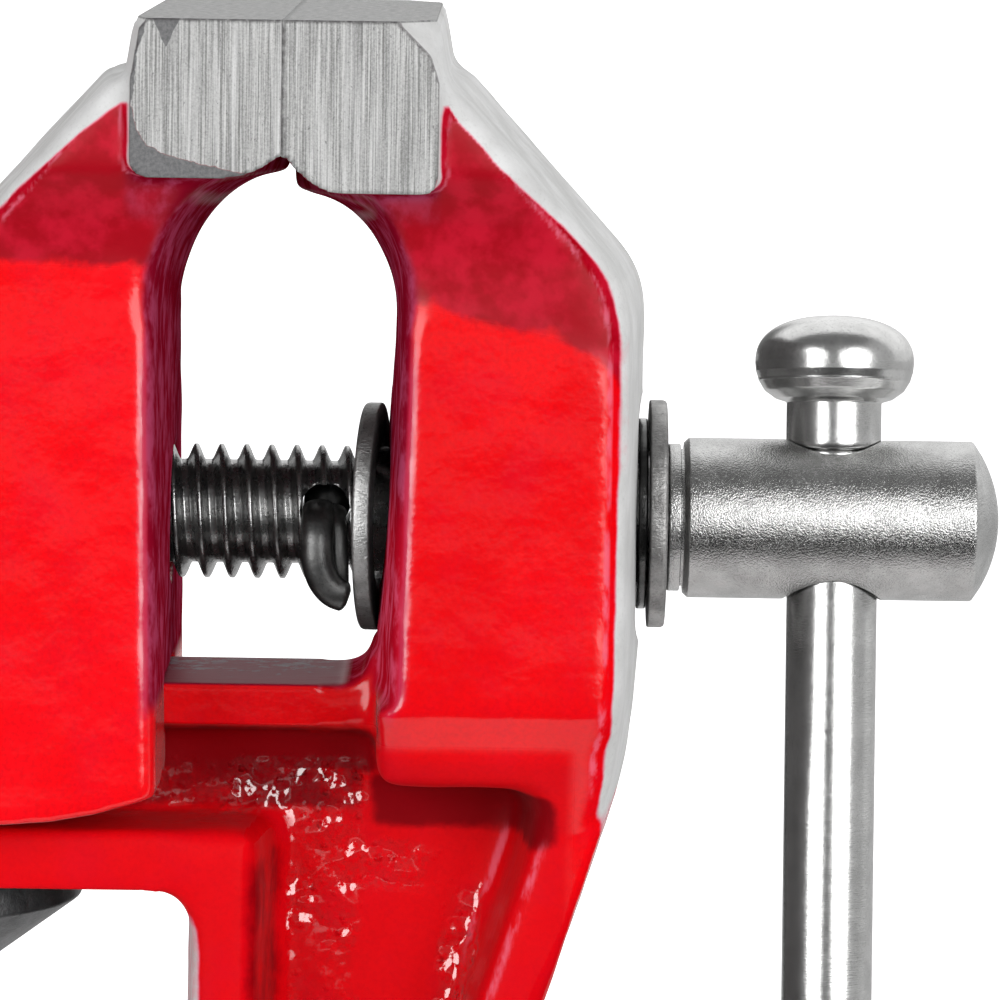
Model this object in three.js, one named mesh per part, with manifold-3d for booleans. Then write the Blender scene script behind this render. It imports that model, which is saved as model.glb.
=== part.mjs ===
// Mini bench vise that clamps to a table edge, in millimetres, +Z up.
// The origin is on the table seat, on the axis of the clamp screw. +X runs along the lead
// screw towards its handle. Inside the vise group, X is counted from the plane where the
// jaws meet and Z from the axis of the lead screw.
import * as THREE from 'three';
import { mergeVertices } from 'three/addons/utils/BufferGeometryUtils.js';
import Module from 'manifold-3d';

const wasm = await Module();
wasm.setup();

// Places of the main axes
const screwHeight = 21; // lead screw axis above the table seat
const clampReach = 24.4; // clamp screw axis behind the plane where the jaws meet

// Clearances
const jawGap = 0.1; // between the closed jaws
const seatGap = 0.1; // between faces that bear on each other
const pressGap = 0.1; // round a piece pressed into its bore
const runGap = 0.3; // round a piece that turns or slides
const overrun = 1.5; // how far a cutter passes the face that it cuts

// Jaws
const jawWidth = 40; // across the ground sides of the tips
const flareWidth = 38.6; // across the casting just behind the tips
const bodyWidth = 33.6; // across the painted sides
const jawTop = 30; // top of the tips above the screw
const fixedTip = 9.4; // thickness of the front tip in the middle
const movingTip = 9.2;
const tipRootDrop = 3.5; // from the top down to where the casting joins a tip
const tipSideTaper = 0.6; // how much thinner a tip is at its sides
const tipLean = 0.5; // how much thinner a tip is at its top
const fixedTipCorner = 2; // chamfer at the ends of the front tip's back edge
const movingTipCorner = 0.5;
const cornerReach = 3.4; // how far such a chamfer runs along the edge
const tipRound = 1.1; // round under the back of a tip
const notchHeight = 22.4; // top of the notch between the tips, at the sides
const fixedTipDrop = 2.2; // underside of the front tip, below the notch
const movingTipDrop = 1.4;
const bellyShare = 0.36; // of a tip's thickness, over which its underside falls from the notch
const flareFoot = 16.2; // where the sides start to flare out to the tips
const flareTop = 21.4;
const flareShares = [[0.4, 0.2], [0.75, 0.6]]; // way up the flare, and how much of it has come out
const wallDraft = 1.1; // how far an outer wall draws in from the middle to a side
const throatDraft = 0.7; // the same for a throat wall, at the arch
const cornerRound = 1.9; // upright back corners of the castings
const throatEdgeRound = 1.2; // their upright corners in the throat

// Throat between the jaws
const archSpring = 12; // where the arch starts, in the middle
const sideSpring = 14; // and at the sides, where it runs up to the notch
const fixedThroat = 6.3; // depth of the front throat wall at the arch
const fixedArchRise = 7.3;
const movingThroat = 6.65;
const movingArchRise = 8.4;
const fixedWallLean = 1.25; // how far the front wall comes in at the beam
const fixedSideLean = 0.6; // the same at its sides
const movingWallLean = -0.5; // the rear wall goes out instead, down to its foot
const movingSideLean = 0.4;

// Front jaw's back
const slopeTopDepth = 10;
const slopeTopHeight = 27;
const shoulderDepth = 21.05;
const shoulderHeight = 14.8;
const shoulderRound = 2.4;
const wallFoot = 7.2; // where the back starts to lean in, below the screw
const spineTop = 16.5; // where the lean is straight, below the screw
const leanStart = 1.15; // how far the back has come in there
const spineSlope = 0.325; // run over drop of the leaning back
const leanShares = [0.2, 0.6]; // bend between wall and lean: of the run, and of the drop
const blockDrop = 9.7; // where the sides start to draw in to the frame
const blockFoot = 17.6; // where they have drawn in

// Beam
const beamTop = 9.6; // below the screw
const beamWidth = 12.4;
const beamFlange = 2.4;
const beamEdge = 0.7; // slope under the flange
const webWidth = 8;
const beamEnd = 62; // behind the jaw plane
const beamFillet = 1.8; // where the beam meets the front jaw
const blockInset = 5.6; // front jaw's depth below the beam's top

// Clamp frame
const frameWidth = 25;
const frameDraft = 0.9;
const armThickness = 3.5; // upper arm, over the table seat
const throatWall = 5.8; // clamp throat's wall behind the jaw plane
const throatRound = 3;
const innerFlange = 3.9;
const outerFlange = 4;
const pocketTop = 14; // below the screw
const pocketFootWidth = 5.6; // how narrow it gets at its foot
const pocketDraft = 1.5;
const pocketRound = 2.4;
const lowerArmDrop = 45; // lower arm's top under the table seat
const lowerArmThickness = 9;
const lowerArmRound = 5;
const heelDrop = 55; // where the back turns in to the lower arm, below the screw
const heelReach = 9.5; // where the heel ends, behind the jaw plane
const bossRadius = 9;
const bossHeight = 1.3; // how far the boss stands out of the lower arm

// Rear jaw
const rearSlopeTopDepth = 10.5; // behind the jaw plane, at the same height as in front
const slopeRun = 18.3; // from the top of the back slope to its foot
const slopeFall = 19.4;
const slopeEase = [2.5, 0.6]; // bevel between slope and rear wall: its drop, and its run
const saddleLength = 42; // from the jaw plane to the rear end
const saddleTop = 9.4; // above the screw
const saddleFall = 0.8; // how much lower it is at the rear
const saddleRearWidth = 28;
const saddleRound = 4;
const saddleBevel = 0.6; // slight bevel at its rear end, after the round
const skirtFoot = 16.7; // below the screw
const toeRise = 1.6; // how much the skirts rise at the throat
const toeLength = 9.5;
const toeShares = [[0.4, 0.45], [0.7, 0.12], [1, 0]]; // way along the toe, and rise left there

// Lead screw
const threadRadius = 4;
const threadPitch = 1.5;
const threadDepth = 0.92;
const threadSteps = 12; // per turn
const leadThreadEnd = 57.75; // behind the jaw plane
const leadShoulder = 5; // end of the thread, before the jaw plane
const threadChamfer = 0.9;
const shankRadius = 3.95;
const stubRadius = 3.2; // shank inside the head
const stubLength = 6;
const pinHoleRadius = 1.5;
const pinHoleX = 2.25;
const pinHoleZ = 0.5;

// Washers
const washerRadius = 6.8;
const washerThickness = 1.05;
const washerPlay = 0.4; // between a washer's bore and the screw
const washerSlip = 0.2; // how far a washer lies off the axis
const innerWasherTilt = 5; // degrees that it leans on the drafted throat wall
const sealWasherRadius = 5.7;
const sealWasherThickness = 0.55;
const spotRadius = 7.3;
const innerSpotDepth = 5.6; // seat in the throat, on the axis
const outerSpotSink = 0.35; // machined seat on the back, from the wall in

// Screw heads
const headRadius = 4.78;
const headLength = 19.8;
const collarRadius = 4.4;
const collarLength = 0.75;
const grooveRadius = 4.1;
const grooveWidth = 0.2;
const domeHeight = 1.7;
const headChamfer = 0.3;
const headHoleFromCollar = 9.9;

// Handles
const barRadius = 2.7;
const barHoleRadius = 3.2;
const handleLength = 76; // over both ends
const handleDrop = 63.6; // from the screw axis to the far end of the lower knob
const handleLean = 8; // degrees that the handle leans out of the upright
const clampBarLength = 60;
const knobRadius = 4.75;
const knobHeight = 5.3;
const knobWide = 2.3; // height of the widest place
const knobFlat = 1.6; // radius of the flat top
const knobNeckRadius = 2.84;
const knobNeck = 3;
const knobStub = 1.85; // radius of the bar's end in the knob
const knobStubLength = 5;

// Split pin
const pinWire = 0.6; // radius of the wire
const pinLegs = 1.32; // between the two legs
const pinNearBend = 4.9; // from the screw axis to the outside of the bend
const pinDrop = 6.6; // how far the legs hang
const pinEye = 6.6; // from the screw axis to the far end of the eye
const pinEyeRadius = 0.74;
const pinSway = 0.2; // how far the ends of the legs stand over towards the washer
const pinEyeTurns = [-0.1, 0.6]; // where the eye starts and ends, in turns
// Each leg from its end up to the hole: sway share, depth in wire radii behind the bend's
// outside, and height in wire radii above the end or, past the second, below the hole
const pinEndShares = [[1, 1.4, 1], [0.5, 1.1, 3]];
const pinBendShares = [[0, 1, 3], [0, 1.2, 1], [0, 2.2, 0]];

// Lead nut
const nutRadius = 6.2;
const nutLength = 10;
const nutDepth = 12; // behind the jaw plane

// Clamp screw and its pad
const clampThreadTop = 9.2; // below the table seat
const clampTipTop = 3; // tip of the screw below the table seat
const clampHeadGap = 2; // between the boss and the head
const clampNeckRadius = 2.6;
const padRadius = 12.2;
const padRim = 1.9;
const padConeHeight = 5.4;
const padFootRadius = 4.9;
const padSeatGap = 0.3; // between the pad and the seat
const padRecessRadius = 5.1;
const padRecessDepth = 4.7;
const clipThickness = 0.8;
const clipRadius = 4.5;
const clipGroove = 0.4;

const roundSteps = 28; // facets of a round piece
const smallSteps = 18;
const wideSteps = 42;
const arcSteps = 5; // facets of a fillet

// Places that follow from these
const half = (value) => value / 2;
const spineTopDepth = shoulderDepth - leanStart;
const outerSpotDepth = shoulderDepth - outerSpotSink;
const pocketLeft = innerFlange - throatWall;
const pocketRun = spineTopDepth - outerFlange - pocketLeft - pocketFootWidth;
const pocketFloor = spineTop + pocketRun / spineSlope;
const tipRoot = jawTop - tipRootDrop;
const fixedTipFoot = notchHeight - fixedTipDrop;
const movingTipFoot = notchHeight - movingTipDrop;
const clearBore = threadRadius + runGap;

const full = Math.PI * 2;
const quarter = full / 4;
const mix = (a, b, share) => a + (b - a) * share;

// Closed solid through rings that each hold the same number of points.
function ringSolid(rings) {
  const count = rings[0].length;
  const index = [];
  for (let r = 0; r + 1 < rings.length; r += 1) {
    const a = r * count;
    const b = a + count;
    for (let i = 0; i < count; i += 1) {
      const j = (i + 1) % count;
      index.push(a + i, a + j, b + j, a + i, b + j, b + i);
    }
  }
  index.push(...capFaces(rings[0], 0, false));
  index.push(...capFaces(rings[rings.length - 1], (rings.length - 1) * count, true));
  const geometry = new THREE.BufferGeometry();
  const positions = rings.flat().flatMap((point) => point.toArray());
  geometry.setAttribute('position', new THREE.Float32BufferAttribute(positions, 3));
  geometry.setIndex(index);
  return solidOf(geometry);
}

// Faces of the flat lid on a ring, running with the ring or against it.
function capFaces(ring, offset, withRing) {
  const normal = new THREE.Vector3();
  ring.forEach((point, i) => {
    normal.add(point.clone().sub(ring[0]).cross(ring[(i + 1) % ring.length].clone().sub(ring[0])));
  });
  const sizes = normal.toArray().map(Math.abs);
  const drop = sizes.indexOf(Math.max(...sizes));
  const flat = ring.map((point) => {
    const [u, v] = point.toArray().filter((value, axis) => axis !== drop);
    return new THREE.Vector2(u, v);
  });
  const counterClockwise = !THREE.ShapeUtils.isClockWise(flat);
  return THREE.ShapeUtils.triangulateShape(flat, []).flatMap((face) => {
    const turned = counterClockwise === withRing ? face : [...face].reverse();
    return turned.map((i) => i + offset);
  });
}

// Solid of a closed geometry, with its faces pointing out.
function solidOf(geometry) {
  const plain = geometry.clone();
  plain.deleteAttribute('normal');
  plain.deleteAttribute('uv');
  const merged = mergeVertices(plain);
  const vertProperties = merged.attributes.position.array;
  const triVerts = new Uint32Array(merged.index.array);
  const corner = (i) => new THREE.Vector3().fromArray(vertProperties, triVerts[i] * 3);
  let volume = 0;
  for (let i = 0; i < triVerts.length; i += 3) {
    volume += corner(i).dot(corner(i + 1).cross(corner(i + 2)));
  }
  if (volume < 0) triVerts.reverse();
  return new wasm.Manifold(new wasm.Mesh({ numProp: 3, vertProperties, triVerts }));
}

function geometryOf(solid) {
  const { vertProperties, triVerts } = solid.getMesh();
  const geometry = new THREE.BufferGeometry();
  geometry.setAttribute('position', new THREE.BufferAttribute(vertProperties, 3));
  geometry.setIndex(new THREE.BufferAttribute(triVerts, 1));
  return geometry;
}

const joined = (solids) => solids.reduce((sum, solid) => sum.add(solid));
const cutBy = (solid, cutters) => cutters.reduce((rest, cutter) => rest.subtract(cutter), solid);

// Point of an outline on the plane across an axis, as [u, v] in the order X, Y, Z.
function onPlane(axis, place, [u, v]) {
  if (axis === 'x') return new THREE.Vector3(place, u, v);
  if (axis === 'y') return new THREE.Vector3(u, place, v);
  return new THREE.Vector3(u, v, place);
}

// Outlines placed along an axis, each as [place, outline].
const loft = (axis, stations) => ringSolid(
  stations.map(([place, outline]) => outline.map((point) => onPlane(axis, place, point))),
);
const prism = (axis, outline, from, to) => loft(axis, [[from, outline], [to, outline]]);
const box = (x, y, z) => prism('z', [[x[0], y[0]], [x[1], y[0]], [x[1], y[1]], [x[0], y[1]]], ...z);

// Outline drawn in by a distance, or out where the distance is negative.
function inset(outline, distance) {
  const turns = THREE.ShapeUtils.isClockWise(outline.map(([u, v]) => new THREE.Vector2(u, v)));
  const side = turns ? -1 : 1;
  return outline.map(([u, v], i) => {
    const [pu, pv] = outline[(i + outline.length - 1) % outline.length];
    const [nu, nv] = outline[(i + 1) % outline.length];
    const before = new THREE.Vector2(u - pu, v - pv).normalize();
    const after = new THREE.Vector2(nu - u, nv - v).normalize();
    const across = new THREE.Vector2(-before.y - after.y, before.x + after.x).normalize();
    const reach = (side * distance) / Math.max(across.dot(new THREE.Vector2(-before.y, before.x)), 0.5);
    return [u + across.x * reach, v + across.y * reach];
  });
}

// Round solid about an axis, from [radius, place] pairs.
function turned(axis, profile, steps) {
  const points = profile.map(([radius, place]) => new THREE.Vector2(radius, place));
  const geometry = new THREE.LatheGeometry(points, steps);
  if (axis === 'x') geometry.rotateZ(-quarter);
  if (axis === 'z') geometry.rotateX(quarter);
  return solidOf(geometry);
}
const rod = (axis, radius, from, to, steps = roundSteps) => turned(
  axis, [[0, from], [radius, from], [radius, to], [0, to]], steps,
);
const ring = (axis, outer, inner, from, to) => turned(
  axis, [[inner, from], [outer, from], [outer, to], [inner, to], [inner, from]], roundSteps,
);

// Right-hand thread along an axis, cut square at both ends and chamfered there.
function thread(axis, from, to) {
  const profileShares = [[0, 1], [0.36, 0], [0.64, 0]];
  const count = profileShares.length;
  const steps = Math.ceil((to - from) / threadPitch + 2) * threadSteps;
  const start = from - threadPitch;
  const positions = [];
  for (let s = 0; s <= steps + threadSteps; s += 1) {
    const angle = (full * s) / threadSteps;
    profileShares.forEach(([place, rise]) => {
      const radius = threadRadius - threadDepth * (1 - rise);
      const along = start + threadPitch * (s / threadSteps + place);
      positions.push(radius * Math.cos(angle), radius * Math.sin(angle), along);
    });
  }
  const at = (s, j) => (j < count ? s * count + j : (s + threadSteps) * count);
  const index = [];
  for (let s = 0; s < steps; s += 1) {
    for (let j = 0; j < count; j += 1) {
      index.push(at(s, j), at(s + 1, j), at(s + 1, j + 1), at(s, j), at(s + 1, j + 1), at(s, j + 1));
    }
  }
  const rim = (s) => {
    const edge = [];
    for (let k = 0; k <= threadSteps; k += 1) edge.push(at(s + k, 0));
    for (let j = count - 1; j > 0; j -= 1) edge.push(at(s, j));
    return edge;
  };
  [[0, start], [steps, start + threadPitch * (steps / threadSteps + 1)]].forEach(([s, place], end) => {
    const hub = positions.length / 3;
    positions.push(0, 0, place);
    const edge = rim(s);
    edge.forEach((point, i) => {
      const next = edge[(i + 1) % edge.length];
      index.push(...(end ? [hub, point, next] : [hub, next, point]));
    });
  });
  const geometry = new THREE.BufferGeometry();
  geometry.setAttribute('position', new THREE.Float32BufferAttribute(positions, 3));
  geometry.setIndex(index);
  if (axis === 'x') geometry.rotateY(quarter);
  const wide = threadRadius + overrun;
  const low = threadRadius - threadChamfer;
  const bevel = wide - low;
  const sleeve = [[0, from], [low, from], [wide, from + bevel], [wide, to - bevel], [low, to], [0, to]];
  return solidOf(geometry).intersect(turned(axis, sleeve, threadSteps * 2));
}

// Points of a fillet at a corner, from one straight side to the other.
function fillet(before, corner, after, size) {
  const [b, c, a] = [before, corner, after].map(([u, v]) => new THREE.Vector2(u, v));
  const start = c.clone().add(b.sub(c).setLength(size));
  const end = c.clone().add(a.sub(c).setLength(size));
  const curve = new THREE.QuadraticBezierCurve(start, c, end);
  return curve.getPoints(arcSteps).map((point) => point.toArray());
}

// Value at a height of a contour given as [height, value] pairs, lowest first.
function follow(contour, height) {
  const next = contour.findIndex(([level]) => level >= height);
  if (next <= 0) return next < 0 ? contour[contour.length - 1][1] : contour[0][1];
  const [lowLevel, low] = contour[next - 1];
  const [highLevel, high] = contour[next];
  return mix(low, high, (height - lowLevel) / (highLevel - lowLevel));
}

// Throat wall's depth from the jaw plane, from its foot up to the spring and over the arch.
function throatContour(foot, footDepth, spring, springDepth, top) {
  const points = [[foot, footDepth], [spring, springDepth]];
  const archSteps = arcSteps * 2;
  for (let i = 1; i < archSteps; i += 1) {
    const angle = quarter * (i / archSteps);
    points.push([mix(spring, top, Math.sin(angle)), springDepth * Math.cos(angle)]);
  }
  points.push([top, half(jawGap)]);
  return points;
}

// Upright casting between a throat wall and a back wall, on one side of the jaw plane. The
// throat is given in the middle and at the sides.
function jawBody(side, throat, throatSide, back, sides, foot, top) {
  const contours = [throat, throatSide, back, sides];
  const given = contours.flatMap((contour) => contour.map(([level]) => level));
  const within = [foot, top, ...given].filter((level) => level >= foot && level <= top);
  const levels = [...new Set(within)].sort((a, b) => a - b);
  const stations = levels.map((level) => {
    const [front, frontSide, rear, width] = contours.map((contour) => follow(contour, level));
    const reach = half(width);
    const rearSide = rear - wallDraft;
    const wall = [
      ...fillet([frontSide, 0], [frontSide, reach], [rearSide, reach], throatEdgeRound),
      ...fillet([frontSide, reach], [rearSide, reach], [rearSide, 0], cornerRound),
    ];
    const mirrored = [...wall].reverse().map(([u, v]) => [u, -v]);
    const outline = [[front, 0], ...wall, [rear, 0], ...mirrored];
    return [level, outline.map(([u, v]) => [side * u, v])];
  });
  return loft('z', stations);
}

// Ground tip of a jaw, on one side of the jaw plane.
function jawTip(side, thickness, corner, underside) {
  const face = half(jawGap);
  const outlineAt = (back, chamfer) => {
    const under = [back - tipRound, underside];
    const heelRound = fillet(under, [back, underside], [back, underside + tipRound], tipRound);
    const run = thickness * bellyShare;
    const belly = new THREE.QuadraticBezierCurve(
      new THREE.Vector2(face, notchHeight),
      new THREE.Vector2(face + half(run), underside),
      new THREE.Vector2(face + run, underside),
    ).getPoints(arcSteps).map((point) => point.toArray());
    const crown = back - tipLean;
    const outline = [...belly, ...heelRound, [back, jawTop - tipRootDrop], [crown, jawTop - chamfer],
      [crown - chamfer, jawTop], [face, jawTop]];
    return outline.map(([u, v]) => [side * u, v]);
  };
  const end = half(jawWidth);
  const shoulder = end - cornerReach;
  const endOutline = outlineAt(thickness - tipSideTaper, corner);
  const middle = outlineAt(thickness, movingTipCorner);
  return loft('y', [[-end, endOutline], [-shoulder, middle], [shoulder, middle], [end, endOutline]]);
}

const sideContour = (foot) => [
  [-blockFoot, foot],
  [-blockDrop, bodyWidth],
  [flareFoot, bodyWidth],
  ...flareShares.map(([up, out]) => [mix(flareFoot, flareTop, up), mix(bodyWidth, flareWidth, out)]),
  [flareTop, flareWidth],
];

// Back of the front jaw and of the clamp frame, from the tip down, as [depth, height].
function backOutline() {
  const slopeTop = [slopeTopDepth, slopeTopHeight];
  const shoulder = [shoulderDepth, shoulderHeight];
  const footLevel = [shoulderDepth, -wallFoot];
  const lean = [spineTopDepth, -spineTop];
  const [runShare, dropShare] = leanShares;
  const bend = [mix(shoulderDepth, spineTopDepth, runShare), -mix(wallFoot, spineTop, dropShare)];
  const curve = new THREE.QuadraticBezierCurve(
    new THREE.Vector2(...footLevel), new THREE.Vector2(...bend), new THREE.Vector2(...lean),
  ).getPoints(arcSteps).map((point) => point.toArray());
  return [slopeTop, ...fillet(slopeTop, shoulder, footLevel, shoulderRound), ...curve];
}

// Clamp frame, from the upper arm round to the stub of the lower arm. Its walls draw in
// towards the sides, but the table seat is flat.
function framePlate() {
  const seat = -screwHeight;
  const floor = seat - lowerArmDrop;
  const underside = floor - lowerArmThickness;
  const outlineAt = (drawn) => {
    const armTop = seat + armThickness;
    const wall = -throatWall + drawn;
    const back = (drop) => spineTopDepth - drawn - (drop - spineTop) * spineSlope;
    const stub = -throatWall - lowerArmRound - overrun;
    const heel = new THREE.QuadraticBezierCurve(
      new THREE.Vector2(back(heelDrop), -heelDrop),
      new THREE.Vector2(back(-underside), underside),
      new THREE.Vector2(-heelReach, underside),
    ).getPoints(arcSteps * 2).map((point) => point.toArray());
    return [
      [-beamEnd, armTop],
      [blockInset, armTop],
      [blockInset, -pocketTop],
      [spineTopDepth - outerFlange, -pocketTop],
      [back(spineTop), -spineTop],
      ...heel,
      [stub, underside],
      [stub, floor],
      ...fillet([stub, floor], [wall, floor], [wall, seat], lowerArmRound),
      ...fillet([wall, floor], [wall, seat], [-beamEnd, seat], throatRound),
      [-beamEnd, seat],
    ];
  };
  const reach = half(frameWidth);
  const drawn = outlineAt(frameDraft);
  return loft('y', [[-reach, drawn], [0, outlineAt(0)], [reach, drawn]]);
}

// Pocket in one side of the frame, down to the web.
function framePocket(side) {
  const flangeFoot = -beamTop - beamFlange - beamEdge;
  const outlineAt = (drawn) => {
    const left = pocketLeft + drawn;
    const top = -pocketTop - drawn;
    const floor = -pocketFloor + drawn;
    const right = (height) => spineTopDepth - outerFlange - drawn + (height + spineTop) * spineSlope;
    const topLeft = [blockInset, top];
    const topRight = [right(top), top];
    const lowRight = [right(floor), floor];
    const lowLeft = [left, floor];
    return [
      [left, flangeFoot],
      [blockInset, flangeFoot],
      topLeft,
      ...fillet(topLeft, topRight, lowRight, pocketRound),
      ...fillet(topRight, lowRight, lowLeft, half(lowRight[0] - left) - seatGap),
      ...fillet(lowRight, lowLeft, [left, flangeFoot], half(lowRight[0] - left) - seatGap),
    ];
  };
  const web = side * half(webWidth);
  const reach = side * (half(bodyWidth) + overrun);
  return loft('y', [[web, outlineAt(pocketDraft)], [reach, outlineAt(0)]]);
}

// Beam that the rear jaw rides on, with the web that joins it to the upper arm.
function beam() {
  const flange = half(beamWidth);
  const web = half(webWidth);
  const under = -beamTop - beamFlange;
  const foot = -screwHeight + armThickness - overrun;
  const section = [
    [-flange, -beamTop], [-flange, under], [-web, under - beamEdge], [-web, foot],
    [web, foot], [web, under - beamEdge], [flange, under], [flange, -beamTop],
  ];
  const bar = prism('x', section, -beamEnd, blockInset + overrun * 2);
  const root = fixedThroat - fixedWallLean;
  const foreFillet = [
    [root + overrun, -beamTop - overrun],
    [root - beamFillet, -beamTop - overrun],
    ...fillet([root - beamFillet * 2, -beamTop], [root, -beamTop], [root, 0], beamFillet),
    [root + overrun, -beamTop + beamFillet],
  ];
  return bar.add(prism('y', foreFillet, -flange, flange));
}

// Lower arm, narrowing to the round boss that carries the clamp screw.
function lowerArm() {
  const top = -screwHeight - lowerArmDrop;
  const foot = top - lowerArmThickness;
  const neck = half(frameWidth) - frameDraft;
  const plan = [[-heelReach, neck], [-throatWall - lowerArmRound, neck]];
  const bossSteps = arcSteps * 2;
  for (let i = 1; i < bossSteps; i += 1) {
    const angle = Math.PI * (i / bossSteps);
    plan.push([-clampReach - bossRadius * Math.sin(angle), bossRadius * Math.cos(angle)]);
  }
  plan.push([-throatWall - lowerArmRound, -neck], [-heelReach, -neck]);
  const arm = prism('z', plan, foot, top);
  const boss = rod('z', bossRadius - frameDraft, foot - bossHeight, top + bossHeight);
  return arm.add(boss.translate([-clampReach, 0, 0]));
}

// Fixed casting: front jaw, beam and clamp frame in one piece.
function fixedBody() {
  const foot = fixedThroat - fixedWallLean;
  const sideDepth = fixedThroat + throatDraft;
  const under = [[-blockFoot, blockInset], [-beamTop - half(seatGap), blockInset]];
  const arch = throatContour(-beamTop, foot, archSpring, fixedThroat, archSpring + fixedArchRise);
  const sideArch = throatContour(-beamTop, sideDepth - fixedSideLean, sideSpring, sideDepth, notchHeight);
  const footDepth = spineTopDepth - (blockFoot - spineTop) * spineSlope;
  const back = backOutline().map(([depth, height]) => [height, depth]).reverse();
  const wholeBack = [[-blockFoot, footDepth], ...back];
  const upright = jawBody(1, [...under, ...arch], [...under, ...sideArch], wholeBack,
    sideContour(frameWidth), -blockFoot, tipRoot);
  const tip = jawTip(1, fixedTip, fixedTipCorner, fixedTipFoot);
  const frame = joined([framePlate(), lowerArm(), beam()]);
  const body = joined([upright, tip, frame]);
  return cutBy(body, [
    framePocket(1),
    framePocket(-1),
    rod('x', clearBore, 0, shoulderDepth + overrun),
    rod('x', spotRadius, -innerSpotDepth, 0).rotate([0, 0, -innerWasherTilt])
      .translate([innerSpotDepth, 0, 0]),
    rod('x', spotRadius, outerSpotDepth, shoulderDepth + overrun),
    rod('z', clearBore, -screwHeight - lowerArmDrop - lowerArmThickness - bossHeight - overrun,
      -screwHeight - lowerArmDrop + bossHeight + overrun).translate([-clampReach, 0, 0]),
  ]);
}

// Rear jaw: a saddle that hooks under the beam's flange.
function movingJaw() {
  const foot = movingThroat - movingWallLean;
  const sideDepth = movingThroat + throatDraft;
  const arch = throatContour(-skirtFoot, foot, archSpring, movingThroat, archSpring + movingArchRise);
  const sideArch = throatContour(-skirtFoot, sideDepth - movingSideLean, sideSpring, sideDepth, notchHeight);
  const slopeFoot = [rearSlopeTopDepth + slopeRun, slopeTopHeight - slopeFall];
  const back = [
    [-skirtFoot, slopeFoot[0]],
    [slopeFoot[1] - slopeEase[0], slopeFoot[0]],
    [slopeFoot[1], slopeFoot[0] - slopeEase[1]],
    [slopeTopHeight, rearSlopeTopDepth],
  ];
  const tip = jawTip(-1, movingTip, movingTipCorner, movingTipFoot);
  const upright = jawBody(-1, arch, sideArch, back, sideContour(bodyWidth), -skirtFoot, tipRoot);
  const saddle = saddleBody();
  const wide = half(beamWidth) + runGap;
  const neck = half(webWidth) + runGap;
  const under = -beamTop - beamFlange - runGap;
  const low = -skirtFoot - overrun;
  const slot = [
    [-wide, -beamTop + runGap], [-wide, under], [-neck, under - beamEdge], [-neck, low],
    [neck, low], [neck, under - beamEdge], [wide, under], [wide, -beamTop + runGap],
  ];
  const toe = [
    [-movingThroat + overrun, -skirtFoot - overrun],
    [-movingThroat + overrun, -skirtFoot + toeRise],
    [-movingThroat - throatDraft, -skirtFoot + toeRise],
    ...toeShares.map(([along, rise]) => [-movingThroat - toeLength * along, -skirtFoot + toeRise * rise]),
    [-movingThroat - toeLength, -skirtFoot - overrun],
  ];
  const rear = -saddleLength - overrun;
  return cutBy(joined([upright, saddle, tip]), [
    prism('x', slot, rear, 0),
    prism('y', toe, -half(bodyWidth) - overrun, half(bodyWidth) + overrun),
    rod('x', clearBore, rear, 0),
    rod('x', nutRadius + pressGap, rear, -nutDepth + seatGap),
  ]);
}

// Low rear part of the saddle, narrowing and falling to its end.
function saddleBody() {
  const frontPlace = -rearSlopeTopDepth - half(slopeRun);
  const sectionAt = (width, top, drawn) => {
    const reach = half(width) - drawn;
    const crown = top - drawn;
    const foot = -skirtFoot + drawn;
    return [
      [-reach, foot],
      [reach, foot],
      ...fillet([reach, foot], [reach, crown], [0, crown], saddleRound),
      ...fillet([0, crown], [-reach, crown], [-reach, foot], saddleRound),
    ];
  };
  const frontWidth = bodyWidth - wallDraft;
  const rearTop = saddleTop - saddleFall;
  return loft('x', [
    [-saddleLength, sectionAt(saddleRearWidth, rearTop, cornerRound)],
    [-saddleLength + saddleBevel, sectionAt(saddleRearWidth, rearTop, saddleBevel)],
    [-saddleLength + cornerRound, sectionAt(saddleRearWidth, rearTop, 0)],
    [frontPlace, sectionAt(frontWidth, saddleTop, 0)],
  ]);
}

// Places along the lead screw, outward from the machined seat on the back
const sealFrom = outerSpotDepth + seatGap;
const thrustFrom = sealFrom + sealWasherThickness + seatGap;
const headFrom = thrustFrom + washerThickness + seatGap;
const leadHole = headFrom + headHoleFromCollar;

function leadScrew() {
  const shank = rod('x', shankRadius, leadShoulder - overrun, headFrom - seatGap);
  const stub = rod('x', stubRadius, leadShoulder, headFrom + stubLength);
  const hole = rod('y', pinHoleRadius, -threadRadius - overrun, threadRadius + overrun, smallSteps);
  return joined([thread('x', -leadThreadEnd, leadShoulder), shank, stub])
    .subtract(hole.translate([pinHoleX, 0, pinHoleZ]));
}

// Turned head about the Z axis, from its collar at zero up to its domed end.
function screwHead(length, hole) {
  const profile = [
    [0, 0], [collarRadius, 0], [collarRadius, collarLength], [grooveRadius, collarLength],
    [grooveRadius, collarLength + grooveWidth], [headRadius - headChamfer, collarLength + grooveWidth],
    [headRadius, collarLength + grooveWidth + headChamfer], [headRadius, length - domeHeight],
  ];
  for (let i = 1; i <= arcSteps; i += 1) {
    const angle = quarter * (i / arcSteps);
    profile.push([headRadius * Math.cos(angle), length - domeHeight * (1 - Math.sin(angle))]);
  }
  const socket = rod('z', stubRadius + pressGap, -overrun, stubLength + pressGap);
  const cross = rod('x', barHoleRadius, -headRadius - overrun, headRadius + overrun);
  return cutBy(turned('z', profile, roundSteps), [socket, cross.translate([0, 0, hole])]);
}

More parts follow.
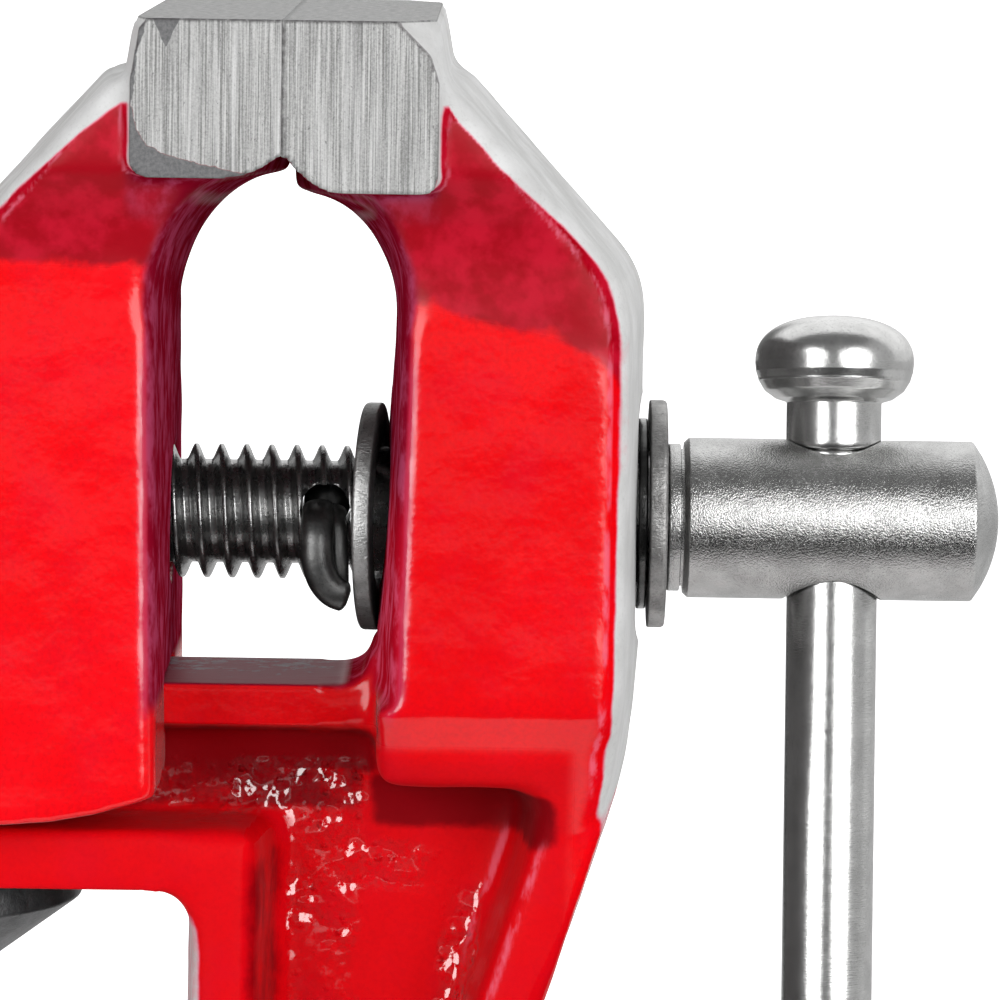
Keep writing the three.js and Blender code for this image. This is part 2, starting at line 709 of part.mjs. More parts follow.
// Knob pressed on the end of a bar, from its neck at zero up to its flat top.
function knob() {
  const profile = [[0, 0], [knobNeckRadius, 0], [knobNeckRadius, knobNeck]];
  const lowSteps = arcSteps - 1;
  for (let i = 1; i <= lowSteps; i += 1) {
    const angle = quarter * (i / lowSteps);
    const radius = mix(knobNeckRadius, knobRadius, Math.sin(angle));
    profile.push([radius, knobNeck + knobWide * (1 - Math.cos(angle))]);
  }
  const rise = knobHeight - knobWide;
  const flatAngle = Math.acos(knobFlat / knobRadius);
  for (let i = 1; i <= arcSteps; i += 1) {
    const angle = flatAngle * (i / arcSteps);
    const share = Math.sin(angle) / Math.sin(flatAngle);
    profile.push([knobRadius * Math.cos(angle), knobNeck + knobWide + rise * share]);
  }
  profile.push([0, knobNeck + knobHeight]);
  const socket = rod('z', knobStub + pressGap, -overrun, knobStubLength + pressGap, smallSteps);
  return turned('z', profile, roundSteps).subtract(socket);
}

// Bar between two knobs along Z, with its lower knob's top at zero.
function handleBar(length) {
  const reach = knobNeck + knobHeight;
  return joined([
    rod('z', barRadius, reach + seatGap, length - reach - seatGap),
    rod('z', knobStub, reach - knobStubLength, length - reach + knobStubLength, smallSteps),
  ]);
}

// Split pin of one wire: both legs lie in the hole and hang down on the near side.
function splitPin() {
  const legX = (sign) => pinHoleX + sign * half(pinLegs);
  const leg = (sign) => {
    const place = ([sway, depth]) => [legX(sign) + pinSway * sway, -pinNearBend + pinWire * depth];
    return [
      ...pinEndShares.map((share) => [...place(share), -pinDrop + pinWire * share[2]]),
      ...pinBendShares.map((share) => [...place(share), -pinWire * share[2]]),
      [legX(sign), 0, 0],
      [legX(sign), pinEye - pinEyeRadius * 3, 0],
    ];
  };
  const eye = [];
  const eyeSteps = arcSteps + 1;
  for (let i = 0; i <= eyeSteps; i += 1) {
    const angle = full * mix(...pinEyeTurns, i / eyeSteps);
    eye.push([
      pinHoleX - pinEyeRadius * Math.cos(angle),
      pinEye - pinWire - pinEyeRadius * (1 - Math.sin(angle)),
      0,
    ]);
  }
  const path = [...leg(-1), ...eye, ...leg(1).reverse()].map((point) => new THREE.Vector3(...point));
  const section = new THREE.Shape().absarc(0, 0, pinWire, 0, full);
  const geometry = new THREE.ExtrudeGeometry(section, {
    steps: path.length * 3,
    curveSegments: arcSteps - 1,
    extrudePath: new THREE.CatmullRomCurve3(path, false, 'catmullrom'),
  });
  return solidOf(geometry).translate([0, 0, pinHoleZ]);
}

function swivelPad() {
  const top = -screwHeight - padSeatGap;
  const foot = top - padRim - padConeHeight;
  const profile = [[0, top], [padRadius, top], [padRadius, top - padRim], [padFootRadius, foot], [0, foot]];
  const bore = rod('z', clampNeckRadius + runGap, foot - overrun, top);
  const recess = rod('z', padRecessRadius, top - padRecessDepth, top + overrun);
  return cutBy(turned('z', profile, wideSteps), [bore, recess]);
}

// Heights on the clamp screw
const clipTo = -screwHeight - padSeatGap - padRecessDepth + seatGap + clipThickness;
const clampHeadFrom = screwHeight + lowerArmDrop + lowerArmThickness + bossHeight + clampHeadGap;
const clampHole = clampHeadFrom + headHoleFromCollar;

function clampScrew() {
  const shoulder = -screwHeight - clampThreadTop;
  const neck = rod('z', clampNeckRadius, shoulder - overrun, -screwHeight - clampTipTop, smallSteps);
  const groove = ring('z', clampNeckRadius + overrun, clampNeckRadius - clipGroove,
    clipTo - clipThickness - half(seatGap), clipTo + half(seatGap));
  const stub = rod('z', stubRadius, -clampHeadFrom - stubLength, -clampHeadFrom + overrun);
  return joined([thread('z', -clampHeadFrom + seatGap, shoulder), neck, stub]).subtract(groove);
}

// Open ring snapped into the groove at the screw's tip
function padClip() {
  const inner = clampNeckRadius - clipGroove + half(seatGap);
  const body = ring('z', clipRadius, inner, clipTo - clipThickness, clipTo);
  const mouth = half(inner);
  return body.subtract(box([0, clipRadius + overrun], [-mouth, mouth],
    [clipTo - clipThickness - overrun, clipTo + overrun]));
}

// Materials
const paint = { color: 0xe01c20, roughness: 0.35, metalness: 0 };
const nickel = { color: 0xb9b9b7, roughness: 0.22, metalness: 1 };
const blackened = { color: 0x3c3b3b, roughness: 0.45, metalness: 1 };
const greySteel = { color: 0x7c7c7a, roughness: 0.5, metalness: 1 };

const vise = new THREE.Group();
vise.position.set(clampReach, 0, screwHeight);

function add(group, name, solid, look) {
  const mesh = new THREE.Mesh(geometryOf(solid), new THREE.MeshStandardMaterial(look));
  mesh.name = name;
  group.add(mesh);
  return mesh;
}

add(vise, 'fixed_body', fixedBody(), paint);
add(vise, 'moving_jaw', movingJaw(), paint);
const nut = ring('x', nutRadius, clearBore, -nutDepth - nutLength, -nutDepth);
add(vise, 'lead_nut', nut, greySteel);
add(vise, 'lead_screw', leadScrew(), blackened);
const washerBore = threadRadius + washerPlay;
const plainWasher = (radius, thickness) => ring('x', radius, washerBore, 0, thickness);
add(vise, 'seal_washer', plainWasher(sealWasherRadius, sealWasherThickness), blackened)
  .position.set(sealFrom, 0, washerSlip);
add(vise, 'thrust_washer', plainWasher(washerRadius, washerThickness), greySteel)
  .position.set(thrustFrom, 0, washerSlip);
const innerWasher = add(vise, 'inner_washer',
  plainWasher(washerRadius, washerThickness).translate([-seatGap - washerThickness, 0, 0]), blackened);
innerWasher.position.set(innerSpotDepth, 0, -washerSlip);
innerWasher.rotation.set(0, 0, THREE.MathUtils.degToRad(-innerWasherTilt));
add(vise, 'split_pin', splitPin(), blackened);

// Lead screw's head and handle, leaning together about the screw
const leadEnd = new THREE.Group();
leadEnd.position.set(headFrom, 0, 0);
leadEnd.rotation.set(THREE.MathUtils.degToRad(-handleLean), 0, 0);
vise.add(leadEnd);
const leadHeadSolid = screwHead(headLength, headHoleFromCollar).rotate([0, 90, 0]);
add(leadEnd, 'screw_head', leadHeadSolid, nickel);

function addHandle(group, names, length, foot) {
  const [barName, lowName, highName] = names;
  const place = (mesh) => mesh.position.set(0, 0, foot);
  place(add(group, barName, handleBar(length), nickel));
  place(add(group, highName, knob().translate([0, 0, length - knobNeck - knobHeight]), nickel));
  const flipped = knob().rotate([180, 0, 0]).translate([0, 0, knobNeck + knobHeight]);
  place(add(group, lowName, flipped, nickel));
}
const leadHandle = new THREE.Group();
leadHandle.position.set(headHoleFromCollar, 0, 0);
leadEnd.add(leadHandle);
addHandle(leadHandle, ['lead_handle', 'lead_handle_lower_knob', 'lead_handle_upper_knob'], handleLength,
  -handleDrop);

// Clamp screw under the table
const clamp = new THREE.Group();
clamp.position.set(-clampReach, 0, 0);
vise.add(clamp);
add(clamp, 'swivel_pad', swivelPad(), blackened);
add(clamp, 'pad_clip', padClip(), greySteel);
add(clamp, 'clamp_screw', clampScrew(), blackened);
const clampHeadSolid = screwHead(headLength, headHoleFromCollar)
  .rotate([180, 0, 0]).translate([0, 0, -clampHeadFrom]);
add(clamp, 'clamp_screw_head', clampHeadSolid, nickel);
const clampHandle = new THREE.Group();
clampHandle.position.set(0, 0, -clampHole);
clampHandle.rotation.set(0, quarter, 0);
clamp.add(clampHandle);
addHandle(clampHandle, ['clamp_handle', 'clamp_handle_left_knob', 'clamp_handle_right_knob'],
  clampBarLength, -half(clampBarLength));

export default vise;
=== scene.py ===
import math

import bmesh
import bpy
import numpy as np
from mathutils import Matrix, Vector, noise


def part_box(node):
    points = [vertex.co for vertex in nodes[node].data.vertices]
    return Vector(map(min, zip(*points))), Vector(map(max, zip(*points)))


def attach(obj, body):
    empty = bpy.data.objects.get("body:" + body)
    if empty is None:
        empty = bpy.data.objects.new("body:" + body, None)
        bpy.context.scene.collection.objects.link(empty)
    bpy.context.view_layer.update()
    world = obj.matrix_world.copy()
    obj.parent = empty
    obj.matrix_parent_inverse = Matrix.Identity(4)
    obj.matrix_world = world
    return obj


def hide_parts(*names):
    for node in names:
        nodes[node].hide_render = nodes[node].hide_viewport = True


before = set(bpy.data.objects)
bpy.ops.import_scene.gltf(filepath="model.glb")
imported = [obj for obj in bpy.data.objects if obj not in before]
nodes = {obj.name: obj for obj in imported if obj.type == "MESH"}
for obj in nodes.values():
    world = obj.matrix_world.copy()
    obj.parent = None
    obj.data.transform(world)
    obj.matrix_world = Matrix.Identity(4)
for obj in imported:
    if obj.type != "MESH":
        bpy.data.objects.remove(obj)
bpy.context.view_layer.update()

# Lengths are in millimetres in the part's frame, and MM turns them into Blender's metres.
# The origin is on the table seat, +X runs along the lead screw and -Y faces the camera.
MM = 0.001


def span(node):
    """Low and high corners of a CAD node, in millimetres."""
    low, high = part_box(node)
    return np.array(low) / MM, np.array(high) / MM


REAR_SETBACK, FRONT_SETBACK = 0.05, 0.03  # from the jaw plane back to each tip's meeting face
JAW_PLANE = span("moving_jaw")[1][0] + REAR_SETBACK  # X where the jaws meet
HALF_WIDTH = span("fixed_body")[1][1]
TIP_TOP = span("fixed_body")[1][2]
SCREW_Z = (span("lead_nut")[0][2] + span("lead_nut")[1][2]) / 2  # height of the lead screw
HEAD_X = span("screw_head")[0][0]
HEAD_LENGTH = span("screw_head")[1][0] - HEAD_X
CLAMP_HEAD_Z = span("clamp_screw_head")[1][2]
HEAD_TO_HOLE = 9.9  # from a head's collar to its handle's axis
HANDLE_LEAN = math.radians(8.0)
HANDLE_UP = (0.0, math.sin(HANDLE_LEAN), math.cos(HANDLE_LEAN))
ALONG_X = (1, 0, 0)
ALONG_Y = (0, 1, 0)
ALONG_Z = (0, 0, 1)


# Materials
def srgb(*levels):
    """Linear colour of an 8-bit sRGB one."""
    shares = [level / 255.0 for level in levels]
    return (*(s / 12.92 if s <= 0.04045 else ((s + 0.055) / 1.055) ** 2.4 for s in shares), 1.0)


class Graph:
    """A node tree, built node by node."""

    def __init__(self, tree):
        self.tree = tree
        self.tree.nodes.clear()

    def put(self, node, values):
        """Sets or links the inputs of a node that values names."""
        for key, value in values.items():
            if isinstance(value, bpy.types.NodeSocket):
                self.tree.links.new(value, node.inputs[key])
            else:
                node.inputs[key].default_value = value

    def add(self, kind, values=None, **settings):
        node = self.tree.nodes.new(kind)
        for key, value in settings.items():
            setattr(node, key, value)
        self.put(node, values or {})
        return node

    def math(self, operation, a, b=0.0, clamp=False):
        return self.add("ShaderNodeMath", {0: a, 1: b}, operation=operation, use_clamp=clamp).outputs[0]

    def chain(self, operation, values):
        total = values[0]
        for value in values[1:]:
            total = self.math(operation, total, value)
        return total

    def times(self, *values):
        return self.chain("MULTIPLY", values)

    def most(self, *values):
        return self.chain("MAXIMUM", values)

    def plus(self, *values):
        return self.chain("ADD", values)

    def minus(self, a, b):
        return self.math("SUBTRACT", a, b)

    def away(self, value, middle=0.0):
        """Distance from the middle."""
        return self.math("ABSOLUTE", self.minus(value, middle))

    def rest(self, value):
        return self.math("SUBTRACT", 1.0, value, clamp=True)

    def mixed(self, share, a, b):
        """A colour between two."""
        return self.add("ShaderNodeMix", {"Factor": share, 6: a, 7: b}, data_type="RGBA").outputs[2]

    def between(self, share, a, b):
        """A number between two."""
        return self.add("ShaderNodeMix", {"Factor": share, 2: a, 3: b}, data_type="FLOAT").outputs[0]

    def step(self, value, low, high):
        """0 at low and 1 at high, smooth between them; high may be the lower."""
        values = {"Value": value, "From Min": min(low, high), "From Max": max(low, high)}
        share = self.add("ShaderNodeMapRange", values, interpolation_type="SMOOTHSTEP").outputs[0]
        return share if low < high else self.rest(share)

    def split(self, vector):
        return self.add("ShaderNodeSeparateXYZ", {0: vector}).outputs[:3]

    def ray(self, kind):
        """1 for rays of a kind, 0 for the others."""
        return self.add("ShaderNodeLightPath").outputs[f"Is {kind} Ray"]


class Look(Graph):
    """A procedural material with a Principled shader."""

    def __init__(self, name):
        self.material = bpy.data.materials.new(name)
        self.material.use_nodes = True
        super().__init__(self.material.node_tree)
        self.shader = self.add("ShaderNodeBsdfPrincipled")
        self.add("ShaderNodeOutputMaterial", {"Surface": self.shader.outputs[0]})
        self.place = self.add("ShaderNodeTexCoord").outputs["Object"]

    def set(self, **values):
        self.put(self.shader, {key.replace("_", " "): value for key, value in values.items()})

    def places(self):
        """X, Y and Z in millimetres."""
        return [self.times(axis, 1.0 / MM) for axis in self.split(self.place)]

    def grain(self, size, detail=2.0, rough=0.5, stretch=(1, 1, 1), seed=0.0):
        """Noise from 0 to 1 with features of about size millimetres, stretched per axis."""
        scale = [1.0 / (size * MM * part) for part in stretch]
        place = self.add("ShaderNodeMapping", {"Vector": self.place, "Scale": scale}).outputs[0]
        values = {"Vector": place, "W": seed, "Scale": 1.0, "Detail": detail, "Roughness": rough}
        return self.add("ShaderNodeTexNoise", values, noise_dimensions="4D").outputs[0]

    def patches(self, levels, *grain, **settings):
        """Patches of grain, 0 below the first level and 1 above the second."""
        return self.step(self.grain(*grain, **settings), *levels)

    def wander(self, reach, size, detail, rough, seed):
        """Noise about 0, to shift an edge by up to half its reach."""
        return self.times(self.minus(self.grain(size, detail, rough, seed=seed), 0.5), reach)

    def cells(self, size, seed=0.0):
        values = {"Vector": self.place, "W": seed, "Scale": 1.0 / (size * MM)}
        return self.add("ShaderNodeTexVoronoi", values, voronoi_dimensions="4D").outputs["Distance"]

    def value(self, name):
        return self.add("ShaderNodeAttribute", attribute_name=name).outputs["Fac"]

    def bump(self, height, distance, strength=1.0, base=None):
        values = {"Height": height, "Strength": strength, "Distance": distance * MM}
        if base is not None:
            values["Normal"] = base
        return self.add("ShaderNodeBump", values).outputs[0]

    def drawn(self, value, line):
        """Height of a line of (place, height) points at a value, straight between the points."""
        places, heights = zip(*line)
        low, least = min(places), min(heights)
        reach, rise = max(places) - low, max(heights) - least
        node = self.add("ShaderNodeFloatCurve")
        points = node.mapping.curves[0].points
        while len(points) < len(line):
            points.new(0.5, 0.5)
        for point, (place, height) in zip(points, line):
            point.location = ((place - low) / reach, (height - least) / rise)
            point.handle_type = "VECTOR"
        node.mapping.update()
        self.put(node, {"Value": self.math("DIVIDE", self.minus(value, low), reach, clamp=True)})
        return self.plus(self.times(node.outputs[0], rise), least)


# The rear tip's near side. Its grinding left the skin under this line of (X, Z), ...
SKIN_TOP = [(15.9, 46.0), (16.15, 44.65), (16.4, 43.95), (17.1, 43.72), (17.6, 43.4),
            (19.3, 42.95), (20.9, 42.58), (22.4, 42.25), (23.4, 41.5)]
# ... left of this line of (Z, X) and in a notch with its point down
SKIN_SIDE = [(43.6, 16.9), (44.7, 16.2), (46.1, 15.85), (47.0, 16.02), (49.25, 16.2), (50.2, 16.6)]
NOTCH_POINT = (17.8, 49.25)
NOTCH_SLOPE = 0.44
TIP_FOOT_Z = 40.0
MEETING_FOOT_Z = 42.9
GROUND_DEPTH = 0.12  # a place this near a ground face counts as ground

# Tones of the castings
# The rear casting's red is painted lighter than the front's: painted light and shade on two castings in one
# paint
FRONT_SHADED_ENAMEL = (srgb(232, 5, 14), srgb(244, 8, 18))
REAR_LIT_ENAMEL = (srgb(246, 6, 16), srgb(252, 10, 24))
ENAMEL_SPECK = srgb(204, 6, 20)
ENAMEL_CLOUD = srgb(214, 14, 44)
# Painted shade in the frame's recess
RECESS_SHADE_ENAMEL = srgb(198, 8, 20)
# Painted shade on the jaws' upper sides, above the flare's crease
FLARE_SHADE_ENAMEL = (srgb(150, 4, 24), srgb(184, 18, 44))
# Painted shade in hollows and under ledges
SHADED_ENAMEL = srgb(136, 3, 14)
# The throat: painted shade, with pink painted reflection in patches, lighter low on the front jaw
THROAT_LIGHTER_SHADE_AND_REFLECTION = (srgb(190, 14, 40), srgb(226, 84, 118))
THROAT_SHADE_AND_REFLECTION = (srgb(140, 10, 38), srgb(176, 66, 100))
# Darker purple on the rounded edges beside the throat
THROAT_EDGE_PURPLE = srgb(190, 40, 78)
# Painted highlight lines along rounded edges
EDGE_HIGHLIGHT_PINK = srgb(240, 130, 156)
# Painted reflection: a pink fringe and pale greys, where the glossy enamel mirrors the white surroundings at
# a grazing angle
REFLECTION_FRINGE = srgb(226, 96, 122)
REFLECTION_GREY = (srgb(204, 204, 203), srgb(226, 226, 226))
REFLECTION_CLOUD = srgb(160, 158, 158)
MACHINED_IRON = srgb(152, 142, 147)
MACHINED_PURPLE = srgb(138, 74, 98)
MACHINED_RED = srgb(146, 20, 54)
GROUND_STEEL = (srgb(118, 118, 117), srgb(202, 202, 201))
GROUND_BRIGHT = srgb(222, 222, 222)
GROUND_PIT = srgb(96, 96, 96)
TOP_MOTTLE = (srgb(126, 126, 126), srgb(176, 176, 175))
CAST_SKIN = (srgb(100, 100, 101), srgb(124, 124, 125))
DARK_RIM = srgb(96, 84, 88)
DARK_NICK = srgb(74, 70, 72)
MIRRORED_GREY = srgb(92, 90, 90)  # what the steel parts mirror of a casting
# Shares that a casting's mesh carries. Way is the beam's machined top, rough the grit, deep painted
# shade in hollows with one stain, pit the recess, which has painted shade, shade painted shade above
# the flare's crease, edge a darker purple edge, brim a nicked one. Of the other shares, one is a
# painted highlight line along edges and one painted grey reflection.
FIELD_NAMES = ("bare", "rough", "shade", "throat", "way", "deep", "edge", "corner", "streak", "pit", "brim")


class CastingLook(Look):
    """Glossy red enamel with bare ground tips, and painted grey reflection on the slopes and back walls,
    where glossy enamel would mirror the white surroundings at a grazing angle. The fields of a
    casting's mesh, which are attributes here too, say where it is what."""

    def __init__(self, name, rear):
        super().__init__(name)
        self.rear = rear
        self.x, self.y, self.z = self.places()
        self.aside = self.away(self.y)
        for key in FIELD_NAMES:
            setattr(self, key, self.value(key))
        self.fine = self.grain(0.22, 3.0, 0.7, seed=2.0)
        self.broken = self.patches((0.4, 0.6), 0.8, 3.0, 0.6, stretch=(1, 1, 3.0), seed=15.0)
        self.way_marks = self.grain(0.9, 4.0, 0.7, stretch=(3.0, 1.0, 1.0), seed=7.0)
        lines = self.grain(0.11, 3.0, 0.68, stretch=(1.0, 1.0, 70.0), seed=11.0)
        self.lines = self.between(0.25, lines, self.grain(0.12, 2.0, 0.7, seed=24.0))
        self.find_faces()
        # Painted grey reflection over the enamel's slopes and back walls
        colour, bare = self.painted_reflection(self.enamel())
        colour = self.rims(self.ground_tips(self.beam_top(colour)))
        self.set(Base_Color=self.mixed(self.ray("Glossy"), colour, MIRRORED_GREY))
        self.shine(bare)
        self.relief()

    def find_faces(self):
        """The ground faces, found by their place so that their edges are crisp."""
        side = self.step(self.aside, HALF_WIDTH - GROUND_DEPTH, HALF_WIDTH - 0.07)
        side = self.times(side, self.step(self.z, TIP_FOOT_Z, TIP_FOOT_Z + 0.3))
        self.top_face = self.step(self.z, TIP_TOP - GROUND_DEPTH, TIP_TOP - 0.06)
        meeting = self.step(self.away(self.x, JAW_PLANE), 0.2, GROUND_DEPTH)
        meeting = self.times(meeting, self.step(self.z, MEETING_FOOT_Z, MEETING_FOOT_Z + 0.2))
        near = self.step(self.y, 0.2 - HALF_WIDTH, 0.1 - HALF_WIDTH)
        self.skin = self.times(self.unground(), near, side) if self.rear else 0.0
        self.ground = self.most(self.minus(side, self.skin), self.top_face, meeting)
        self.any_face = self.most(side, self.top_face, meeting)

    def unground(self):
        """Where the rear tip's near side was left as cast."""
        ragged = self.wander(0.35, 0.5, 3.0, 0.6, 31.0)
        foot = self.minus(self.plus(self.drawn(self.x, SKIN_TOP), ragged), self.z)
        edge = self.minus(self.plus(self.drawn(self.z, SKIN_SIDE), ragged), self.x)
        width = self.times(self.minus(self.z, NOTCH_POINT[1]), NOTCH_SLOPE)
        notch = self.minus(self.plus(width, ragged), self.away(self.x, NOTCH_POINT[0]))
        foot, edge = self.step(foot, -0.04, 0.05), self.step(edge, -0.04, 0.05)
        return self.most(foot, edge, self.step(notch, -0.03, 0.04))

    def enamel(self):
        """Red whose tone drifts, with painted light: painted shade in the recess, in hollows and above the
        flare's crease, dark purple painted shade with patches of pink painted reflection in the throat,
        painted highlight lines on rounded edges, and the rear casting's red painted lighter than the
        front's. The edges beside the throat are darker purple.
        """
        drift = self.patches((0.35, 0.68), 6.0, 3.0, 0.55, stretch=(1, 1, 1.6))
        # The rear casting's lighter red is painted light
        red = self.mixed(drift, *(REAR_LIT_ENAMEL if self.rear else FRONT_SHADED_ENAMEL))
        speck = self.patches((0.35, 0.75), 0.3, 2.0, 0.6, seed=3.0)
        red = self.mixed(self.times(speck, 0.4), red, ENAMEL_SPECK)
        cloud = self.patches((0.45, 0.7), 4.0, 4.0, 0.6, seed=18.0)
        red = self.mixed(self.times(cloud, 0.3), red, ENAMEL_CLOUD)
        # Painted shade in the recess
        red = self.mixed(self.times(self.pit, self.step(self.z, 9.0, 7.6), 0.45), red, RECESS_SHADE_ENAMEL)
        wander = self.wander(1.4, 3.5, 4.0, 0.65, 8.0)
        # Painted shade above the flare's crease, its edge wandering
        painted_shade = self.step(self.plus(self.shade, wander), 0.3, 0.7)
        flare_shade_tone = self.mixed(self.patches((0.4, 0.62), 2.6, 4.0, 0.6, seed=10.0), *FLARE_SHADE_ENAMEL)
        red = self.mixed(self.times(painted_shade, 0.9), red, flare_shade_tone)
        # Painted shade in hollows, under the flange and under the block
        shaded = self.step(self.plus(self.deep, self.times(wander, 0.9)), 0.3, 0.9)
        red = self.mixed(shaded, red, SHADED_ENAMEL)
        # Painted shade in the throat, with patches of pink painted reflection
        reflection_patches = self.patches((0.42, 0.64), 1.1, 4.0, 0.65, stretch=(1.6, 1.6, 3.0), seed=9.0)
        low_down = 0.0 if self.rear else self.step(self.z, 26.0, 20.0)
        tones = [self.mixed(low_down, dark, light) for dark, light in zip(THROAT_SHADE_AND_REFLECTION, THROAT_LIGHTER_SHADE_AND_REFLECTION)]
        red = self.mixed(self.throat, red, self.mixed(reflection_patches, *tones))
        # Darker purple along the rounded edges beside the throat
        red = self.mixed(self.times(self.edge, 0.8), red, THROAT_EDGE_PURPLE)
        # Painted highlight lines along rounded edges, broken
        return self.mixed(self.times(self.streak, self.broken, 0.45), red, EDGE_HIGHLIGHT_PINK)

    def painted_reflection(self, red):
        """Painted reflection: light grey with faint clouds, fading into the red through pink, as glossy
        enamel mirrors the white surroundings at a grazing angle.
        """
        cloud_share = self.patches((0.3, 0.75), 3.5, 4.0, 0.6, seed=1.0)
        pale = self.mixed(cloud_share, *REFLECTION_GREY)
        pale = self.mixed(self.times(self.step(self.fine, 0.5, 0.8), 0.35), pale, REFLECTION_CLOUD)
        ragged = self.plus(self.bare, self.wander(0.5, 1.4, 3.0, 0.6, 5.0))
        bare = self.step(ragged, 0.3, 0.75)
        fringe = self.mixed(self.step(ragged, 0.18, 0.5), red, REFLECTION_FRINGE)
        return self.mixed(bare, fringe, pale), bare

    def beam_top(self, colour):
        """Machined, with purple and red left in the marks along it."""
        toward = self.plus(self.way_marks, self.times(self.step(self.y, 3.0, -6.0), 0.16),
                           self.times(self.step(self.x, 27.0, 31.0), 0.2))
        blotch = self.plus(self.grain(1.3, 4.0, 0.65, seed=17.0),
                           self.times(self.step(self.y, 5.0, -7.0), 0.22),
                           self.times(self.step(self.x, 25.0, 30.0), 0.3))
        worn = self.mixed(self.step(toward, 0.4, 0.66), MACHINED_IRON, MACHINED_PURPLE)
        worn = self.mixed(self.step(blotch, 0.42, 0.56), worn, MACHINED_RED)
        return self.mixed(self.way, colour, worn)

    def ground_tips(self, colour):
        """Upright grinding lines with pits, a mottled top and the skin left as cast."""
        broad = self.grain(0.6, 2.0, 0.6, stretch=(1.0, 1.0, 26.0), seed=12.0)
        pits = self.patches((0.6, 0.72), 0.2, 2.0, 0.7, stretch=(1.0, 1.0, 2.0), seed=13.0)
        cut = self.mixed(self.step(self.lines, 0.34, 0.66), *GROUND_STEEL)
        cut = self.mixed(self.times(self.step(broad, 0.5, 0.72), 0.4), cut, GROUND_BRIGHT)
        cut = self.mixed(self.times(pits, 0.7), cut, GROUND_PIT)
        mottle = self.mixed(self.patches((0.35, 0.65), 0.5, 4.0, 0.7, seed=14.0), *TOP_MOTTLE)
        cut = self.mixed(self.top_face, cut, mottle)
        cast = self.mixed(self.step(self.fine, 0.3, 0.7), *CAST_SKIN)
        return self.mixed(self.skin, self.mixed(self.ground, colour, cut), cast)

    def rims(self, colour):
        """Dark lines along the ground faces' edges."""
        rim = self.times(self.step(self.aside, HALF_WIDTH - 0.28, HALF_WIDTH - 0.2),
                         self.step(self.z, 40.9, 41.4), self.rest(self.any_face))
        colour = self.mixed(self.times(rim, 0.6), colour, DARK_RIM)
        nicked = self.patches((0.3, 0.6), 0.5, 3.0, 0.6, seed=16.0)
        return self.mixed(self.times(self.brim, nicked, 0.8), colour, DARK_NICK)

    def shine(self, bare):
        """Gloss of each surface, with glints on the recess's grit and the paint's edges."""
        machined_face = self.most(self.any_face, self.way)
        self.set(Metallic=self.times(self.ground, 0.35))
        gloss = self.between(self.grain(1.2, 2.0, 0.5, seed=4.0), 0.13, 0.2)
        # Rougher where shade is painted: the throat, above the crease and in the recess
        painted_shade = self.most(self.throat, self.times(self.shade, 0.8), self.pit)
        for share, roughness in ((painted_shade, 0.5), (bare, 0.5), (machined_face, 0.45)):
            gloss = self.between(share, gloss, roughness)
        hollow = self.times(self.most(self.pit, self.way), 0.9)
        dull = self.most(self.throat, hollow, self.corner, self.times(self.shade, 0.7))
        self.set(Roughness=gloss, Specular_IOR_Level=self.between(dull, 0.5, 0.0))
        glint = self.patches((0.43, 0.52), 0.45, 3.0, 0.6, seed=23.0)
        glint = self.times(glint, self.step(self.rough, 0.15, 0.5))
        coat = self.most(glint, self.times(self.edge, self.broken, 0.3))
        self.set(Coat_Weight=coat, Coat_Roughness=0.08, Coat_IOR=2.1)

    def relief(self):
        """Orange peel on paint, sand-cast grit in the recess, grinding lines on the tips."""
        painted = self.rest(self.most(self.any_face, self.way))
        normal = self.bump(self.grain(0.8, 2.0, 0.5, seed=20.0), 0.03, painted)
        patches = self.patches((0.34, 0.56), 1.3, 2.0, seed=22.0)
        pimples = self.times(self.step(self.cells(0.6, 2.0), 0.5, 0.05), patches)
        normal = self.bump(pimples, 0.3, self.rough, normal)
        normal = self.bump(self.grain(0.35, 3.0, 0.6, seed=21.0), 0.06, self.rough, normal)
        normal = self.bump(self.lines, 0.03, self.ground, normal)
        self.set(Normal=self.bump(self.way_marks, 0.06, self.way, normal))


def metal_base(look, low, high, shine, fleck_share=0.3):
    """Cloudy metal between two tones, with darker flecks and an uneven shine."""
    cloud = look.patches((0.3, 0.7), 1.8, 4.0, 0.6)
    fleck = look.patches((0.52, 0.72), 0.16, 2.0, 0.7, seed=2.0)
    tone = look.mixed(cloud, srgb(*low), srgb(*high))
    tone = look.mixed(look.times(fleck, fleck_share), tone, srgb(*[int(part * 0.6) for part in low]))
    look.set(Base_Color=tone, Metallic=1.0)
    look.set(Roughness=look.between(look.grain(0.7, 3.0, 0.6, seed=1.0), *shine))


def nickel_look(name, marks, depth, shine=(0.17, 0.3), low=(198, 198, 197), high=(218, 218, 217)):
    """Nickel-plated turned steel; marks gives the turning marks' length along each axis."""
    look = Look(name)
    metal_base(look, low, high, shine)
    normal = look.bump(look.grain(0.3, 3.0, 0.6, seed=4.0), 0.008)
    normal = look.bump(look.grain(0.1, 2.0, 0.6, stretch=marks, seed=6.0), depth, 1.0, normal)
    look.set(Normal=normal)
    return look.material


def head_look(name, marks):
    """Nickel over a coarser turned head, which sparkles."""
    return nickel_look(name, marks, 0.045, (0.16, 0.26), (180, 180, 179), (204, 204, 203))


def handle_looks(name, axis):
    """Looks of a handle's bar and of its knobs, turned about an axis."""
    bar_marks, knob_marks = ([1.0 if part else length for part in axis] for length in (6.0, 8.0))
    return (nickel_look(name + "_bar", bar_marks, 0.012),
            nickel_look(name + "_knob", knob_marks, 0.004, (0.19, 0.3)))


